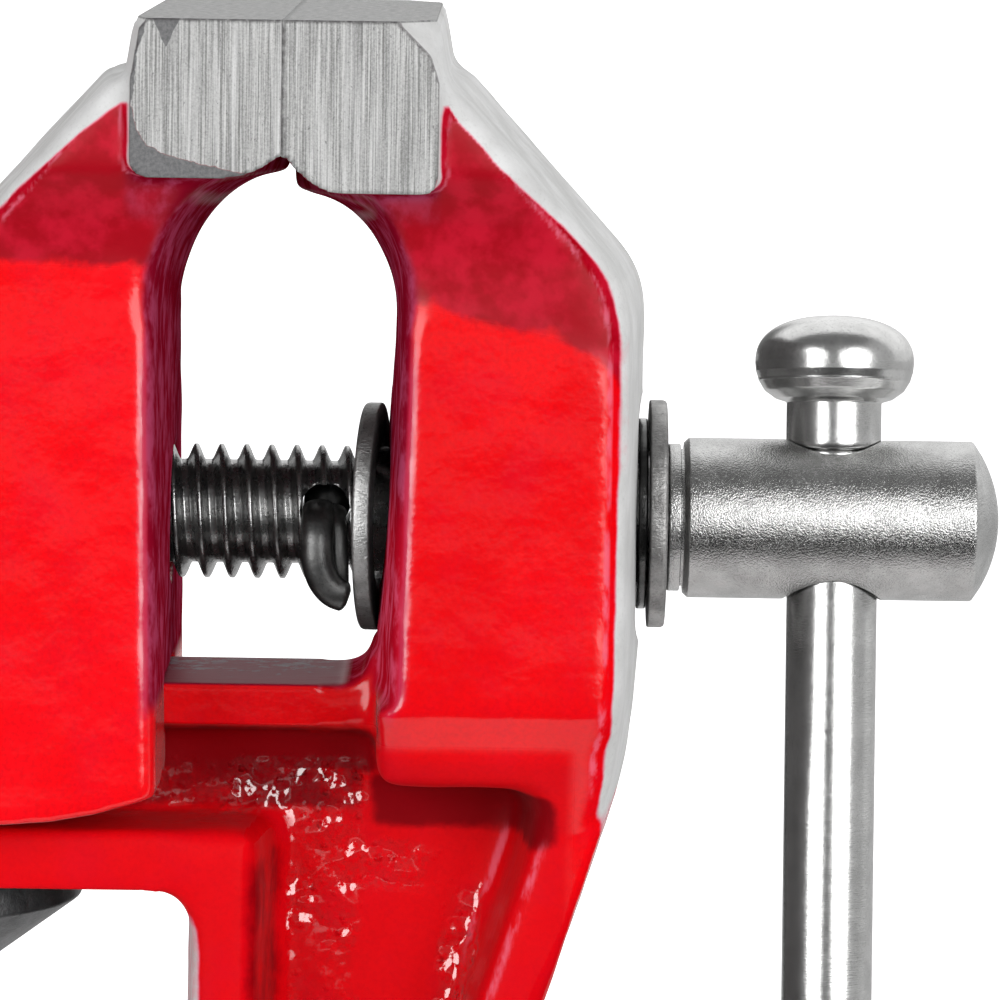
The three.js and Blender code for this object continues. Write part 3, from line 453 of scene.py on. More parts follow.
def dark_look(name, low, high, shine, oil, grit=0.03):
    """Blackened steel under a film of oil."""
    look = Look(name)
    metal_base(look, low, high, shine)
    look.set(Coat_Weight=oil, Coat_Roughness=0.12)
    look.set(Normal=look.bump(look.grain(0.25, 3.0, 0.6, seed=4.0), grit))
    return look.material


def stamped_look(name, low, high, shine):
    """Bare stamped steel with a torn, grainy rim."""
    look = Look(name)
    metal_base(look, low, high, shine, fleck_share=0.5)
    torn = look.grain(0.16, 3.0, 0.7, stretch=(2.0, 1.0, 1.0), seed=4.0)
    look.set(Normal=look.bump(torn, 0.06))
    return look.material


# Mesh helpers
def placed(name, data):
    """A new object in the scene."""
    piece = bpy.data.objects.new(name, data)
    bpy.context.scene.collection.objects.link(piece)
    return piece


def new_object(name, shape):
    """An object from a shape, which is points in millimetres and faces."""
    points, faces = shape
    mesh = bpy.data.meshes.new(name)
    mesh.from_pydata([tuple(point) for point in np.asarray(points) * MM], [], faces)
    work = bmesh.new()
    work.from_mesh(mesh)
    bmesh.ops.recalc_face_normals(work, faces=work.faces)
    work.to_mesh(mesh)
    work.free()
    return placed(name, mesh)


def make_piece(name, shape, body, material, node):
    """A smooth-shaded piece that stands for a CAD node."""
    piece = new_object(name, shape)
    piece.data.materials.append(material)
    piece.data.shade_smooth()
    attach(piece, body)
    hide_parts(node)
    return piece


def settle(piece):
    """Applies a piece's modifiers."""
    graph = bpy.context.evaluated_depsgraph_get()
    old = piece.data
    mesh = bpy.data.meshes.new_from_object(piece.evaluated_get(graph))
    piece.modifiers.clear()
    piece.data = mesh
    bpy.data.meshes.remove(old)


def cut_with(piece, shape):
    """Cuts a closed shape out of a piece."""
    tool = new_object("cutter", shape)
    mesh = tool.data
    step = piece.modifiers.new("cut", "BOOLEAN")
    step.operation, step.solver, step.object = "DIFFERENCE", "EXACT", tool
    settle(piece)
    bpy.data.objects.remove(tool)
    bpy.data.meshes.remove(mesh)
    piece.data.shade_smooth()


def bevelled(piece, width, segments):
    """The bevel put on a piece's sharp edges."""
    step = piece.modifiers.new("edge", "BEVEL")
    step.width, step.segments, step.limit_method = width * MM, segments, "ANGLE"
    return step


def soften(piece, width, angle):
    """Small rounds on the edges that are sharper than an angle."""
    bevelled(piece, width, 3).angle_limit = math.radians(angle)
    settle(piece)
    piece.data.shade_smooth()
    piece.modifiers.new("flats", "WEIGHTED_NORMAL").keep_sharp = True


def rounded(corners, radii, steps=4):
    """A (radius, place) profile with an arc at each inner corner that has a radius."""
    points = []
    for i, corner in enumerate(corners):
        if radii[i] <= 0.0:
            points.append(corner)
            continue
        at = Vector(corner)
        before, after = Vector(corners[i - 1]) - at, Vector(corners[i + 1]) - at
        reach = radii[i] / math.tan(before.angle(after) / 2)
        reach = min(reach, 0.49 * before.length, 0.49 * after.length)
        start, end = at + before.normalized() * reach, at + after.normalized() * reach
        for k in range(steps + 1):
            t = k / steps
            points.append(tuple(start * (1 - t) ** 2 + at * 2 * t * (1 - t) + end * t ** 2))
    return points


def lathe(profile, segments=96):
    """Shape turned about Z, from a profile that ends on the axis or closes on itself."""
    points, rings, faces = [], [], []
    for radius, place in profile:
        count = segments if radius > 1e-6 else 1
        rings.append(range(len(points), len(points) + count))
        angles = np.arange(count) * 2 * math.pi / segments
        points.extend((radius * math.cos(a), radius * math.sin(a), place) for a in angles)
    pairs = list(zip(rings, rings[1:]))
    if len(rings[0]) > 1:
        pairs.append((rings[-1], rings[0]))
    for low, high in pairs:
        for k in range(segments):
            m = (k + 1) % segments
            ends = [low[k % len(low)], high[k % len(high)], high[m % len(high)], low[m % len(low)]]
            faces.append(tuple(dict.fromkeys(ends)))
    return np.array(points), faces


def aimed(shape, axis, origin):
    """A shape about Z laid along another axis, from an origin."""
    matrix = Vector(ALONG_Z).rotation_difference(Vector(axis)).to_matrix()
    return np.asarray(shape[0]) @ np.array(matrix).T + np.asarray(origin), shape[1]


def rod(radius, low, high, segments):
    return lathe([(0.0, low), (radius, low), (radius, high), (0.0, high)], segments)


def swept(path, section, across):
    """Shape of a section carried along a path, its width kept towards across."""
    path = [Vector(point) for point in path]
    points, faces, count = [], [], len(section)
    for i, place in enumerate(path):
        ahead = (path[min(i + 1, len(path) - 1)] - path[max(i - 1, 0)]).normalized()
        wide = Vector(across)
        wide = (wide - ahead * wide.dot(ahead)).normalized()
        deep = ahead.cross(wide)
        points.extend(tuple(place + wide * u + deep * v) for u, v in section)
    for i in range(len(path) - 1):
        for k in range(count):
            m = (k + 1) % count
            a, b = i * count, (i + 1) * count
            faces.append((a + k, a + m, b + m, b + k))
    for end in (0, len(path) - 1):
        faces.append(tuple(end * count + k for k in range(count)))
    return points, faces


def curve_through(points, steps=8):
    """A Catmull-Rom curve through points."""
    knots = [Vector(point) for point in points]
    knots = [knots[0] * 2 - knots[1], *knots, knots[-1] * 2 - knots[-2]]
    path = []
    for a, b, c, d in zip(knots, knots[1:], knots[2:], knots[3:]):
        for k in range(steps):
            t = k / steps
            path.append((b * 2 + (c - a) * t + (a * 2 - b * 5 + c * 4 - d) * t ** 2
                         + (b * 3 - a - c * 3 + d) * t ** 3) / 2)
    path.append(knots[-2])
    return path


# Castings
def rising(value, low, high):
    """0 at low and 1 at high, smooth between them."""
    share = np.clip((value - low) / (high - low), 0.0, 1.0)
    return share * share * (3 - 2 * share)


def falling(value, low, high):
    """1 at low and 0 at high, smooth between them."""
    return rising(-value, -high, -low)


def around(value, middle, full, none):
    """1 within full of the middle and 0 beyond none of it."""
    return falling(np.abs(value - middle), full, none)


def greatest(*shares):
    total = shares[0]
    for share in shares[1:]:
        total = np.maximum(total, share)
    return total


def remeshed(node, voxel):
    """Points in millimetres, quad faces and edges of a CAD node's evenly remeshed solid."""
    piece = placed("grain", nodes[node].data.copy())
    step = piece.modifiers.new("grain", "REMESH")
    step.mode, step.voxel_size, step.adaptivity = "VOXEL", voxel * MM, 0.0
    settle(piece)
    mesh = piece.data
    points = np.empty(len(mesh.vertices) * 3)
    mesh.vertices.foreach_get("co", points)
    corners = np.empty(len(mesh.loops), dtype=np.int64)
    mesh.loops.foreach_get("vertex_index", corners)
    edges = np.empty(len(mesh.edges) * 2, dtype=np.int64)
    mesh.edges.foreach_get("vertices", edges)
    bpy.data.objects.remove(piece)
    bpy.data.meshes.remove(mesh)
    return points.reshape(-1, 3) / MM, corners.reshape(-1, 4), edges.reshape(-1, 2)


def relaxed(points, edges, weight, rounds, pull=0.6):
    """Points drawn towards their neighbours' middle, each by its own weight."""
    a, b = edges.T
    count = len(points)
    degree = np.bincount(a, minlength=count) + np.bincount(b, minlength=count)
    points = points.copy()
    for _ in range(rounds):
        total = np.stack([
            np.bincount(a, points[b, k], count) + np.bincount(b, points[a, k], count)
            for k in range(points.shape[1])
        ], axis=1)
        points += weight[:, None] * pull * (total / degree[:, None] - points)
    return points


def normals_of(points, quads):
    across = np.cross(points[quads[:, 2]] - points[quads[:, 0]], points[quads[:, 3]] - points[quads[:, 1]])
    total = np.zeros_like(points)
    for k in range(4):
        for axis in range(3):
            total[:, axis] += np.bincount(quads[:, k], across[:, axis], len(points))
    return total / np.maximum(np.linalg.norm(total, axis=1), 1e-12)[:, None]


def noise_at(points, size, offset):
    step = Vector(offset)
    return np.array([
        noise.fractal(Vector(point) / size + step, 0.6, 2.0, 2, noise_basis="PERLIN_NEW") for point in points
    ])


def lumps_at(points, size, offset):
    """Rounded lumps: 1 on a lump's top, 0 between lumps."""
    step = Vector(offset)
    return np.array([
        max(0.0, 1.0 - 1.5 * noise.voronoi(Vector(point) / size + step)[0][0]) for point in points
    ])


# Places on the castings: OUT is a distance from the jaw plane, UP a height from the screw's axis.
# Painted grey reflection takes over from the enamel on the jaws' sides above these lines of (OUT, UP)
REFLECTION_LINE = [(9.4, 25.2), (10.0, 24.3), (11.2, 23.1), (12.0, 22.1), (14.0, 20.2), (16.0, 18.4),
              (18.0, 16.2), (19.1, 14.5), (19.6, 13.1), (19.8, 10.9)]
REAR_REFLECTION_LINE = [(9.1, 25.2), (9.9, 24.7), (11.6, 23.3), (13.8, 21.3), (16.1, 19.2)]
# ... and has painted shade above this one
CREASE_LINE = [(7.0, 13.6), (9.6, 13.1), (12.5, 12.6), (15.9, 11.8), (18.2, 10.6), (19.5, 9.1)]
REAR_CREASE_UP = 15.6
TIP_FOOT_UP = 19.6
MEETING_FOOT_UP = 22.0
FLARE_UP = 14.6  # where the jaws flare out to the tips
TIP_SKIN = 0.45  # depth of a tip's ground skin that keeps its shape
THROAT_TOP_UP = 23.5
THROAT_OUT = 9.2
WAY_UP = -9.6  # the beam's machined top
WEB_UP = -15.8  # middle of the beam's web
RECESS_TOP_UP = -12.4
RECESS_FOOT_UP = -42.0
BOSS_UP = -64.0
VOXEL, QUICK_VOXEL = 0.22, 0.5


class Surface:
    """A casting's places, measured from the jaw plane and the screw's axis, and its normals."""

    def __init__(self, points, normals, rear):
        self.rear = rear
        self.x, self.y, self.z = points[:, 0] - JAW_PLANE, points[:, 1], points[:, 2] - SCREW_Z
        self.aside = np.abs(self.y)
        self.out = -self.x if rear else self.x
        if normals is not None:
            self.nx, self.ny, self.nz = normals.T
            self.facing = -self.nx if rear else self.nx


def grazing_reflection_field(place):
    """Painted reflection: pale grey where the enamel would mirror the white surroundings at a grazing angle,
    on the slopes behind the tips, the back walls and part of the clamp's throat.
    """
    x, z, out, facing = place.x, place.z, place.out, place.facing
    line = np.interp(out, *zip(*(REAR_REFLECTION_LINE if place.rear else REFLECTION_LINE)))
    bare = rising(z - line, -0.35, 0.35) * rising(out, 7.0, 8.0)
    bare = greatest(bare, rising(facing, 0.45, 0.85) * rising(out, 7.5, 9.5))
    bare = bare * (rising(z, 6.0, 10.0) if place.rear else rising(z, -18.5, -14.5))
    bare = greatest(bare, rising(z, 25.0, 26.0))
    if place.rear:
        return bare
    bare = bare * (1.0 - 0.3 * around(z, 8.0, 3.0, 6.0) * rising(place.aside, 11.0, 16.0))
    inner = falling(place.nx, -0.85, -0.4) * falling(z, -24.0, -21.5) * around(x, -6.5, 2.2, 3.2)
    return greatest(bare, 0.6 * inner * rising(z, -65.0, -61.0))


def throat_field(place):
    """The throat's walls, roof and floor, where shade and pink reflection are painted."""
    z, out, nz = place.z, place.out, place.nz
    throat = falling(place.facing, -0.75, -0.3) * rising(z, -10.6, -9.2)
    throat = greatest(throat, falling(nz, -0.8, -0.3) * rising(z, 10.0, 12.0))
    throat = throat * falling(out, THROAT_OUT - 0.6, THROAT_OUT) * (z < THROAT_TOP_UP)
    floor = rising(nz, 0.3, 0.7) * around(z, -8.6, 1.2, 1.8) * rising(out, 2.6, 3.8)
    return greatest(throat, floor)


def edge_fields(place):
    """Painted shade above the flare's crease, painted highlight lines on rounded edges, darker purple edges
    beside the throat, nicks at the tips' edges and dull corners, told by the way that a surface faces.
    """
    z, out, facing, slant = place.z, place.out, place.facing, np.abs(place.ny)
    crease = REAR_CREASE_UP if place.rear else np.interp(out, *zip(*CREASE_LINE))
    # Painted highlight lines on the rounded upright edges and on the pocket's right edge
    streak = around(facing, 0.3, 0.04, 0.1) * rising(z, -16.0, -13.0)
    recess_edge_highlight = around(facing, -0.5, 0.06, 0.2) * rising(out, 10.5, 11.5)
    recess_edge_highlight = recess_edge_highlight * falling(z, -19.0, -17.5) * rising(z, RECESS_FOOT_UP, RECESS_FOOT_UP + 4.0)
    brim = around(slant, 0.8, 0.1, 0.18) * rising(z, 21.0, 21.4)
    edge = around(facing, -0.42, 0.08, 0.3) * rising(slant, 0.6, 0.8)
    edge = edge * falling(z, 9.0, 13.0) * rising(z, -11.0, -9.0) * rising(place.aside, 12.0, 14.0)
    return {
        "shade": rising(z - crease, -1.0, 1.6),
        "corner": rising(facing, 0.12, 0.3) * falling(facing, 0.9, 0.97),
        "streak": greatest(streak, recess_edge_highlight),
        "brim": brim * (place.aside > HALF_WIDTH - 0.4) * (out < 9.3),
        "edge": edge,
    }


def recess_fields(place):
    """Grit, painted shade and dullness of the frame's recess, a stain, and the beam's machined top."""
    x, z, aside = place.x, place.z, place.aside
    inside = falling(aside, 8.5, 10.5) * falling(place.nx, 0.3, 0.6)
    inside = inside * rising(z, RECESS_FOOT_UP, RECESS_FOOT_UP + 2.0)
    web = around(z, WEB_UP, 1.0, 2.0) * falling(x, 4.2, 5.6)
    left = around(x, 2.3, 1.6, 2.9) * falling(z, -17.5, -15.5)
    right = around(x - 10.3 - (z + 27.0) * 0.08, 0.0, 0.6, 1.6) * falling(z, -22.5, -20.5)
    middle = 0.6 * around(x, 7.0, 2.0, 3.6) * around(z, -20.5, 1.0, 2.2)
    # Painted shade under the flange, under the block, on the pocket's flank and on the web; the smudge is a
    # stain
    under = around(z, -13.7, 0.8, 2.2) * falling(x, 4.6, 6.8) * falling(aside, 6.6, 8.0)
    block = rising(z, -19.2, -17.6) * falling(z, -15.5, -14.5) * around(x, 10.6, 4.6, 6.4)
    flank = 0.6 * around(x, -0.9, 0.4, 1.8) * falling(z, -20.0, -18.0)
    smudge = falling(np.hypot((x - 16.3) / 1.7, (z + 11.9) / 0.32), 0.5, 1.2) * (place.y < -16.0)
    near_side = greatest(under, block, flank) * falling(place.ny, -0.2, 0.2)
    pit = falling(aside, 16.4, 17.2) * falling(z, RECESS_TOP_UP, RECESS_TOP_UP + 0.8) * falling(x, 16.5, 17.5)
    return {
        "rough": inside * greatest(web, left, right, middle),
        "deep": greatest(near_side, 0.75 * web * inside, smudge),
        "pit": pit * rising(z, RECESS_FOOT_UP - 2.0, RECESS_FOOT_UP),
        "way": rising(place.nz, 0.75, 0.95) * around(z, WAY_UP, 0.2, 0.45) * falling(x, 3.0, 4.4),
    }


def casting_fields(place):
    """Shares from 0 to 1 of what each place of a casting is."""
    fields = {key: np.zeros_like(place.x) for key in FIELD_NAMES}
    fields.update(edge_fields(place), bare=grazing_reflection_field(place), throat=throat_field(place))
    if not place.rear:
        fields.update(recess_fields(place))
    return fields


def machined(place):
    """1 where a surface keeps its machined shape, 0 where it is as cast."""
    x, z, aside, screw = place.x, place.z, place.aside, np.hypot(place.y, place.z)
    keep = (aside > HALF_WIDTH - TIP_SKIN) & (z > TIP_FOOT_UP - 0.3)
    keep |= (z > TIP_TOP - SCREW_Z - TIP_SKIN) | ((place.out < 0.4) & (z > MEETING_FOOT_UP)) | (screw < 4.7)
    if place.rear:
        keep |= (aside < 6.9) & (z < -8.9) & (z > -12.8)
        keep |= (aside < 4.6) & (z < -12.0)
        keep |= (screw < 6.6) & (x < -11.0)
    else:
        keep |= (screw < 7.6) & ((x > 20.2) | ((np.abs(x - INNER_SEAT_OUT) < 1.8) & (x > 3.5)))
        keep |= (np.abs(z + SCREW_Z) < 0.12) & (x < -7.0)
        keep |= (aside < 6.4) & (z > -12.6) & (z < -9.4) & (x < 2.0)
        keep |= (np.hypot(x + JAW_PLANE, place.y) < 8.0) & (z < BOSS_UP)
    return keep.astype(float)


def melted(points, edges, weight):
    """Softens the recess in the frame and its surroundings, as thick paint on a casting does."""
    place = Surface(points, None, False)
    x, z, aside = place.x, place.z, place.aside
    share = falling(z, -13.6, -12.3) * rising(z, RECESS_FOOT_UP - 2.0, RECESS_FOOT_UP)
    share = share * rising(aside, 2.0, 3.0) * rising(x, -7.0, -3.5) * falling(x, 15.0, 17.0)
    beside = falling(z, -11.5, -9.9) * rising(x, 3.4, 4.4) * falling(x, 7.5, 9.0)
    ledge = around(z, -12.2, 0.4, 1.4) * rising(x, 4.0, 5.5) * (aside > 14.0)
    share = greatest(share, beside, ledge) * weight
    chosen = share > 0.01
    links = edges[chosen[edges[:, 0]] | chosen[edges[:, 1]]]
    used, local = np.unique(links, return_inverse=True)
    local = local.reshape(-1, 2)
    points = points.copy()
    points[used] = relaxed(points[used], local, np.where(chosen[used], share[used], 0.0), 60)
    return points


def trued(points, rear):
    """Sets a jaw tip's ground faces true, so that their edges are crisp."""
    x, y, z = points.T.copy()
    tip = z > SCREW_Z + TIP_FOOT_UP
    y = np.where(tip & (np.abs(y) > HALF_WIDTH - 0.2), np.sign(y) * HALF_WIDTH, y)
    z = np.where(z > TIP_TOP - 0.2, TIP_TOP, z)
    meeting = tip & (z > SCREW_Z + MEETING_FOOT_UP + 0.2) & (np.abs(x - JAW_PLANE) < 0.27)
    x = np.where(meeting, JAW_PLANE - (REAR_SETBACK if rear else FRONT_SETBACK), x)
    return np.stack([x, y, z], axis=1)


def cast_shape(points, edges, rear):
    """Points with cast edges, and the share by which each of them is as cast."""
    keep = machined(Surface(points, None, rear))
    points = relaxed(points, edges, 0.8 * (1.0 - 0.75 * keep), 2)
    near_keep = relaxed(keep[:, None], edges, np.ones(len(points)), 3)[:, 0]
    weight = 1.0 - np.clip(greatest(keep, near_keep * 1.5), 0.0, 1.0)
    points = relaxed(points, edges, weight, 14)
    if not rear:
        points = melted(points, edges, weight)
    flare = around(points[:, 2] - SCREW_Z, FLARE_UP, 1.0, 2.6) * (np.abs(points[:, 1]) > 15.0)
    points = relaxed(points, edges, weight * flare, 50)
    return trued(points, rear), weight


def casting(name, node, body, rear, material):
    """A CAD casting with cast edges, wavy paint, grit in the recess and shares for its look."""
    points, quads, edges = remeshed(node, VOXEL)
    points, weight = cast_shape(points, edges, rear)
    normals = normals_of(points, quads)
    fields = casting_fields(Surface(points, normals, rear))
    lift = 0.06 * noise_at(points, 4.5, (3.1, 0.0, 0.0)) * weight
    gritty = np.where(fields["rough"] > 0.02)[0]
    if len(gritty):
        there = points[gritty]
        patches = rising(noise_at(there, 5.0, (0.0, 0.0, 9.0)), -0.25, 0.2)
        lumps = 0.26 * lumps_at(there, 1.3, (0.0, 4.0, 0.0)) + 0.1 * noise_at(there, 0.9, (7.0, 0.0, 0.0))
        lift[gritty] += (lumps - 0.12) * fields["rough"][gritty] * weight[gritty] * (0.25 + 0.75 * patches)
        fields["rough"][gritty] *= 0.3 + 0.7 * patches
    points = np.clip(points + normals * lift[:, None], *span(node))
    piece = make_piece(name, (points, quads.tolist()), body, material, node)
    for key, values in fields.items():
        layer = piece.data.attributes.new(key, "FLOAT", "POINT")
        layer.data.foreach_set("value", values.astype(np.float32))


# Threads
THREAD_RADIUS = 4.0
THREAD_DEPTH = 0.92
PITCH = 1.5
TIP_CHAMFER = 1.0
CREST_SHARE = 0.13  # of half a pitch, from the middle of a crest to its flank
ROOT_SHARE = 0.74  # the same to the root


def thread_radius(turns):
    """Radius of a thread with rounded crests and wide roots, by turns from a crest."""
    away = np.abs(((turns + 0.5) % 1.0) - 0.5) * 2.0
    rise = np.clip((ROOT_SHARE - away) / (ROOT_SHARE - CREST_SHARE), 0.0, 1.0)
    eased = rise * rise * (3 - 2 * rise)
    return THREAD_RADIUS - THREAD_DEPTH * (1.0 - 0.5 * (rise + eased))


def threaded(length, crest, shank, segments=72, per_pitch=20):
    """Screw about Z with a right-hand thread from a chamfered tip at 0 up to length, then a
    plain shank through (place, radius) points. A crest is at crest."""
    angles = np.arange(segments) * 2 * math.pi / segments
    rows = []
    for place in [*np.arange(0.0, length, PITCH / per_pitch), length]:
        radius = thread_radius((place - crest) / PITCH - angles / (2 * math.pi))
        rows.append((place, np.minimum(radius, THREAD_RADIUS - max(0.0, TIP_CHAMFER - place))))
    rows += [(place, np.full(segments, radius)) for place, radius in shank]
    points = [(0.0, 0.0, rows[0][0])]
    for place, radius in rows:
        points.extend(zip(radius * np.cos(angles), radius * np.sin(angles), [place] * segments))
    points.append((0.0, 0.0, rows[-1][0]))
    faces, top = [], 1 + (len(rows) - 1) * segments
    for k in range(segments):
        m = (k + 1) % segments
        faces += [(0, 1 + m, 1 + k), (len(points) - 1, top + k, top + m)]
        for first in range(1, top, segments):
            faces.append((first + k, first + m, first + segments + m, first + segments + k))
    return np.array(points), faces


# Heads, bars, knobs
HEAD_RADIUS = 4.78
COLLAR = (4.4, 0.75)  # radius and end
GROOVE = (4.1, 0.95)
SHOULDER_RADIUS = 4.5
SHOULDER_END = 1.25
DOME_HEIGHT = 1.6
BAR_RADIUS = 2.7
BAR_HOLE_RADIUS = 2.95
KNOB_RADIUS = 4.75
KNOB_NECK = 3.0
KNOB_WIDE = 2.3  # from the neck up to the widest place
KNOB_HEIGHT = 5.3
KNOB_CROWN = 2.8  # from the widest place up to the top
NECK_RADIUS = 2.84
KNOB_POWER = 2.35  # how square the knob's crown is
KNOB_STEPS = 24
DOME_STEPS = 16
# Radius, height over the neck's top and round of each corner between neck and widest place
KNOB_UNDER = [(3.5, 0.1, 0.5), (4.18, 0.6, 0.5), (4.5, 1.14, 0.06), (4.54, 1.18, 0.04), (4.56, 1.3, 0.1),
              (4.7, 1.75, 0.3)]


def head_profile():
    """Collar, groove, barrel and domed end, up from the collar's face."""
    ball = (HEAD_RADIUS ** 2 + DOME_HEIGHT ** 2) / (2 * DOME_HEIGHT)
    reach = math.asin(HEAD_RADIUS / ball)
    dome = []
    for k in range(DOME_STEPS + 1):
        angle = reach * (1 - k / DOME_STEPS)
        dome.append((ball * math.sin(angle), HEAD_LENGTH - ball * (1 - math.cos(angle))))
    corners = [(0.0, 0.0), (COLLAR[0], 0.0), COLLAR, (GROOVE[0], COLLAR[1]), GROOVE,
               (SHOULDER_RADIUS, GROOVE[1]), (HEAD_RADIUS, SHOULDER_END), dome[0], dome[3]]
    return [*rounded(corners, [0.0, 0.15, 0.06, 0.04, 0.04, 0.06, 0.15, 0.28, 0.0], 5), *dome[4:]]


def add_head(name, axis, origin, hole_axis, body, material, node):
    """A screw's head with the hole for its handle."""
    head = aimed(lathe(head_profile(), 112), axis, origin)
    piece = make_piece(name, head, body, material, node)
    at = np.asarray(origin) + np.asarray(axis) * HEAD_TO_HOLE
    cut_with(piece, aimed(rod(BAR_HOLE_RADIUS, -8.0, 8.0, 72), hole_axis, at))
    soften(piece, 0.12, 38.0)


def knob_profile():
    """Neck, ridge under the widest place, and a crown that is a little square."""
    wide = KNOB_NECK + KNOB_WIDE
    under = [(NECK_RADIUS, 0.5), (NECK_RADIUS, KNOB_NECK - 0.1)]
    under += [(radius, KNOB_NECK + height) for radius, height, _ in KNOB_UNDER]
    under.append((KNOB_RADIUS, wide - 0.05))
    rounds = [0.0, 0.12, *[turn for _, _, turn in KNOB_UNDER], 0.0]
    profile = [(0.0, 0.0), (NECK_RADIUS - 0.1, 0.0), (NECK_RADIUS, 0.12), *rounded(under, rounds)]
    for k in range(KNOB_STEPS):
        angle = math.pi / 2 * k / KNOB_STEPS
        profile.append((KNOB_RADIUS * math.cos(angle) ** (2 / KNOB_POWER),
                        wide + KNOB_CROWN * math.sin(angle) ** (2 / KNOB_POWER)))
    return [*profile, (0.0, wide + KNOB_CROWN)]


def add_handle(pieces, axis, origin, low, high, body, looks):
    """A bar between two knobs, from low to high along an axis through an origin. Pieces maps
    the names of the bar, low knob and high knob to their CAD nodes."""
    bar, *knobs = pieces.items()
    axis, origin = np.asarray(axis), np.asarray(origin)
    reach = KNOB_NECK + KNOB_HEIGHT
    ends = (low + reach + 0.05, high - reach - 0.05)
    corners = [(0.0, ends[0]), (BAR_RADIUS, ends[0]), (BAR_RADIUS, ends[1]), (0.0, ends[1])]
    shape = aimed(lathe(rounded(corners, [0.0, 0.2, 0.2, 0.0])), axis, origin)
    make_piece(bar[0], shape, body, looks[0], bar[1])
    for (name, node), way, end in zip(knobs, (-1, 1), (low, high)):
        shape = aimed(lathe(knob_profile(), 112), axis * way, origin + axis * (end - way * reach))
        make_piece(name, shape, body, looks[1], node)


# Split pin
PIN_HOLE_X = JAW_PLANE + 2.25
PIN_HOLE_Z = SCREW_Z + 0.5
PIN_HOLE_RADIUS = 1.5
PIN_FIT = 0.08
EYE_PLACE = 5.0
EYE_RADIUS = 1.0
EYE_WIRE = 0.5
EYE_SHARE = 0.62  # of a full turn
# The legs' paths from the hole's middle, bent down on the near side
FRONT_LEG = [(-0.42, -1.5, -0.15), (-0.42, -3.2, -0.1), (-0.42, -4.55, -0.5), (-0.42, -5.2, -1.4),
             (-0.4, -5.35, -2.4), (-0.25, -5.35, -3.3), (0.1, -5.3, -4.1), (0.68, -5.25, -4.7),
             (1.48, -5.2, -4.98)]
BACK_LEG = [(0.6, -1.5, -0.3), (0.6, -3.2, -0.3), (0.7, -4.2, -0.9), (0.8, -4.5, -2.0), (0.84, -4.6, -3.0),
            (0.86, -4.6, -3.8), (0.86, -4.5, -4.6)]
LEG_END_SHARES = (0.5, 0.78, 0.93)  # of a leg's section, from its end inwards


def pin_leg(steps, width, thick):
    """One half-round leg with its round side outwards and its end drawn in."""
    section = [(width * math.cos(math.pi * k / 10), thick * math.sin(math.pi * k / 10)) for k in range(11)]
    section += [(-width * 0.85, -0.16), (width * 0.85, -0.16)]
    path = [(PIN_HOLE_X + x, y, PIN_HOLE_Z + z) for x, y, z in steps]
    points, faces = swept(curve_through(path), section, ALONG_X)
    places = np.array(points).reshape(-1, len(section), 3)
    for back, share in enumerate(LEG_END_SHARES, start=1):
        middle = places[-back].mean(axis=0)
        places[-back] = middle + (places[-back] - middle) * share
    return places.reshape(-1, 3).tolist(), faces


def add_pin(material):
    """Split pin: a round body in the hole, two legs bent down on the near side, and an eye."""
    body = aimed(rod(PIN_HOLE_RADIUS - PIN_FIT, 1.4, 3.4, 48), ALONG_Y, (PIN_HOLE_X, 0, PIN_HOLE_Z))
    turns = [math.tau * (EYE_SHARE * k / 24 + (1 - EYE_SHARE) / 2) + math.pi for k in range(25)]
    eye = [(PIN_HOLE_X + EYE_RADIUS * math.sin(turn), EYE_PLACE - EYE_RADIUS * math.cos(turn), PIN_HOLE_Z)
           for turn in turns]
    turns = [math.tau * k / 12 for k in range(12)]
    ring = [(EYE_WIRE * math.cos(turn), EYE_WIRE * math.sin(turn)) for turn in turns]
    legs = pin_leg(FRONT_LEG, 0.97, 0.6), pin_leg(BACK_LEG, 0.62, 0.45)
    points, faces = [], []
    for part_points, part_faces in (*legs, body, swept(eye, ring, ALONG_Z)):
        first = len(points)
        points += [tuple(point) for point in part_points]
        faces += [tuple(first + k for k in face) for face in part_faces]
    make_piece("cotter", (points, faces), "lead_screw", material, "split_pin")


# Screws, pad and washers
LEAD_SHOULDER_OUT = 5.0
LEAD_CREST = 0.45
SHANK_RADIUS = 3.95
SPIGOT_RADIUS = 3.2
HANDLE_LOW, HANDLE_HIGH = -63.6, 12.4
CLAMP_HANDLE_REACH = 30.0
CLAMP_SHOULDER_Z = -9.2
CLAMP_NECK_RADIUS = 2.6
CLAMP_CLIP_RADIUS = 2.2
CLAMP_CLIP = (-4.95, -4.05)  # Z of the clip's groove
CLAMP_TIP = (-3.3, 2.3)  # Z of the tip's chamfer and the tip's radius
PAD_RADIUS = 12.2
PAD_BORE = 2.9
WASHER_BORE = 4.4
WASHER_RADIUS = 6.8
WASHER_THICKNESS = 1.05
WASHER_DROP = 0.2  # the play by which a washer sits off the screw's axis
RING_RADIUS = 5.7
RING_THICKNESS = 0.55
INNER_TILT = math.radians(-5.0)
INNER_SEAT_OUT = 5.6
CAD_EDGE = 0.12


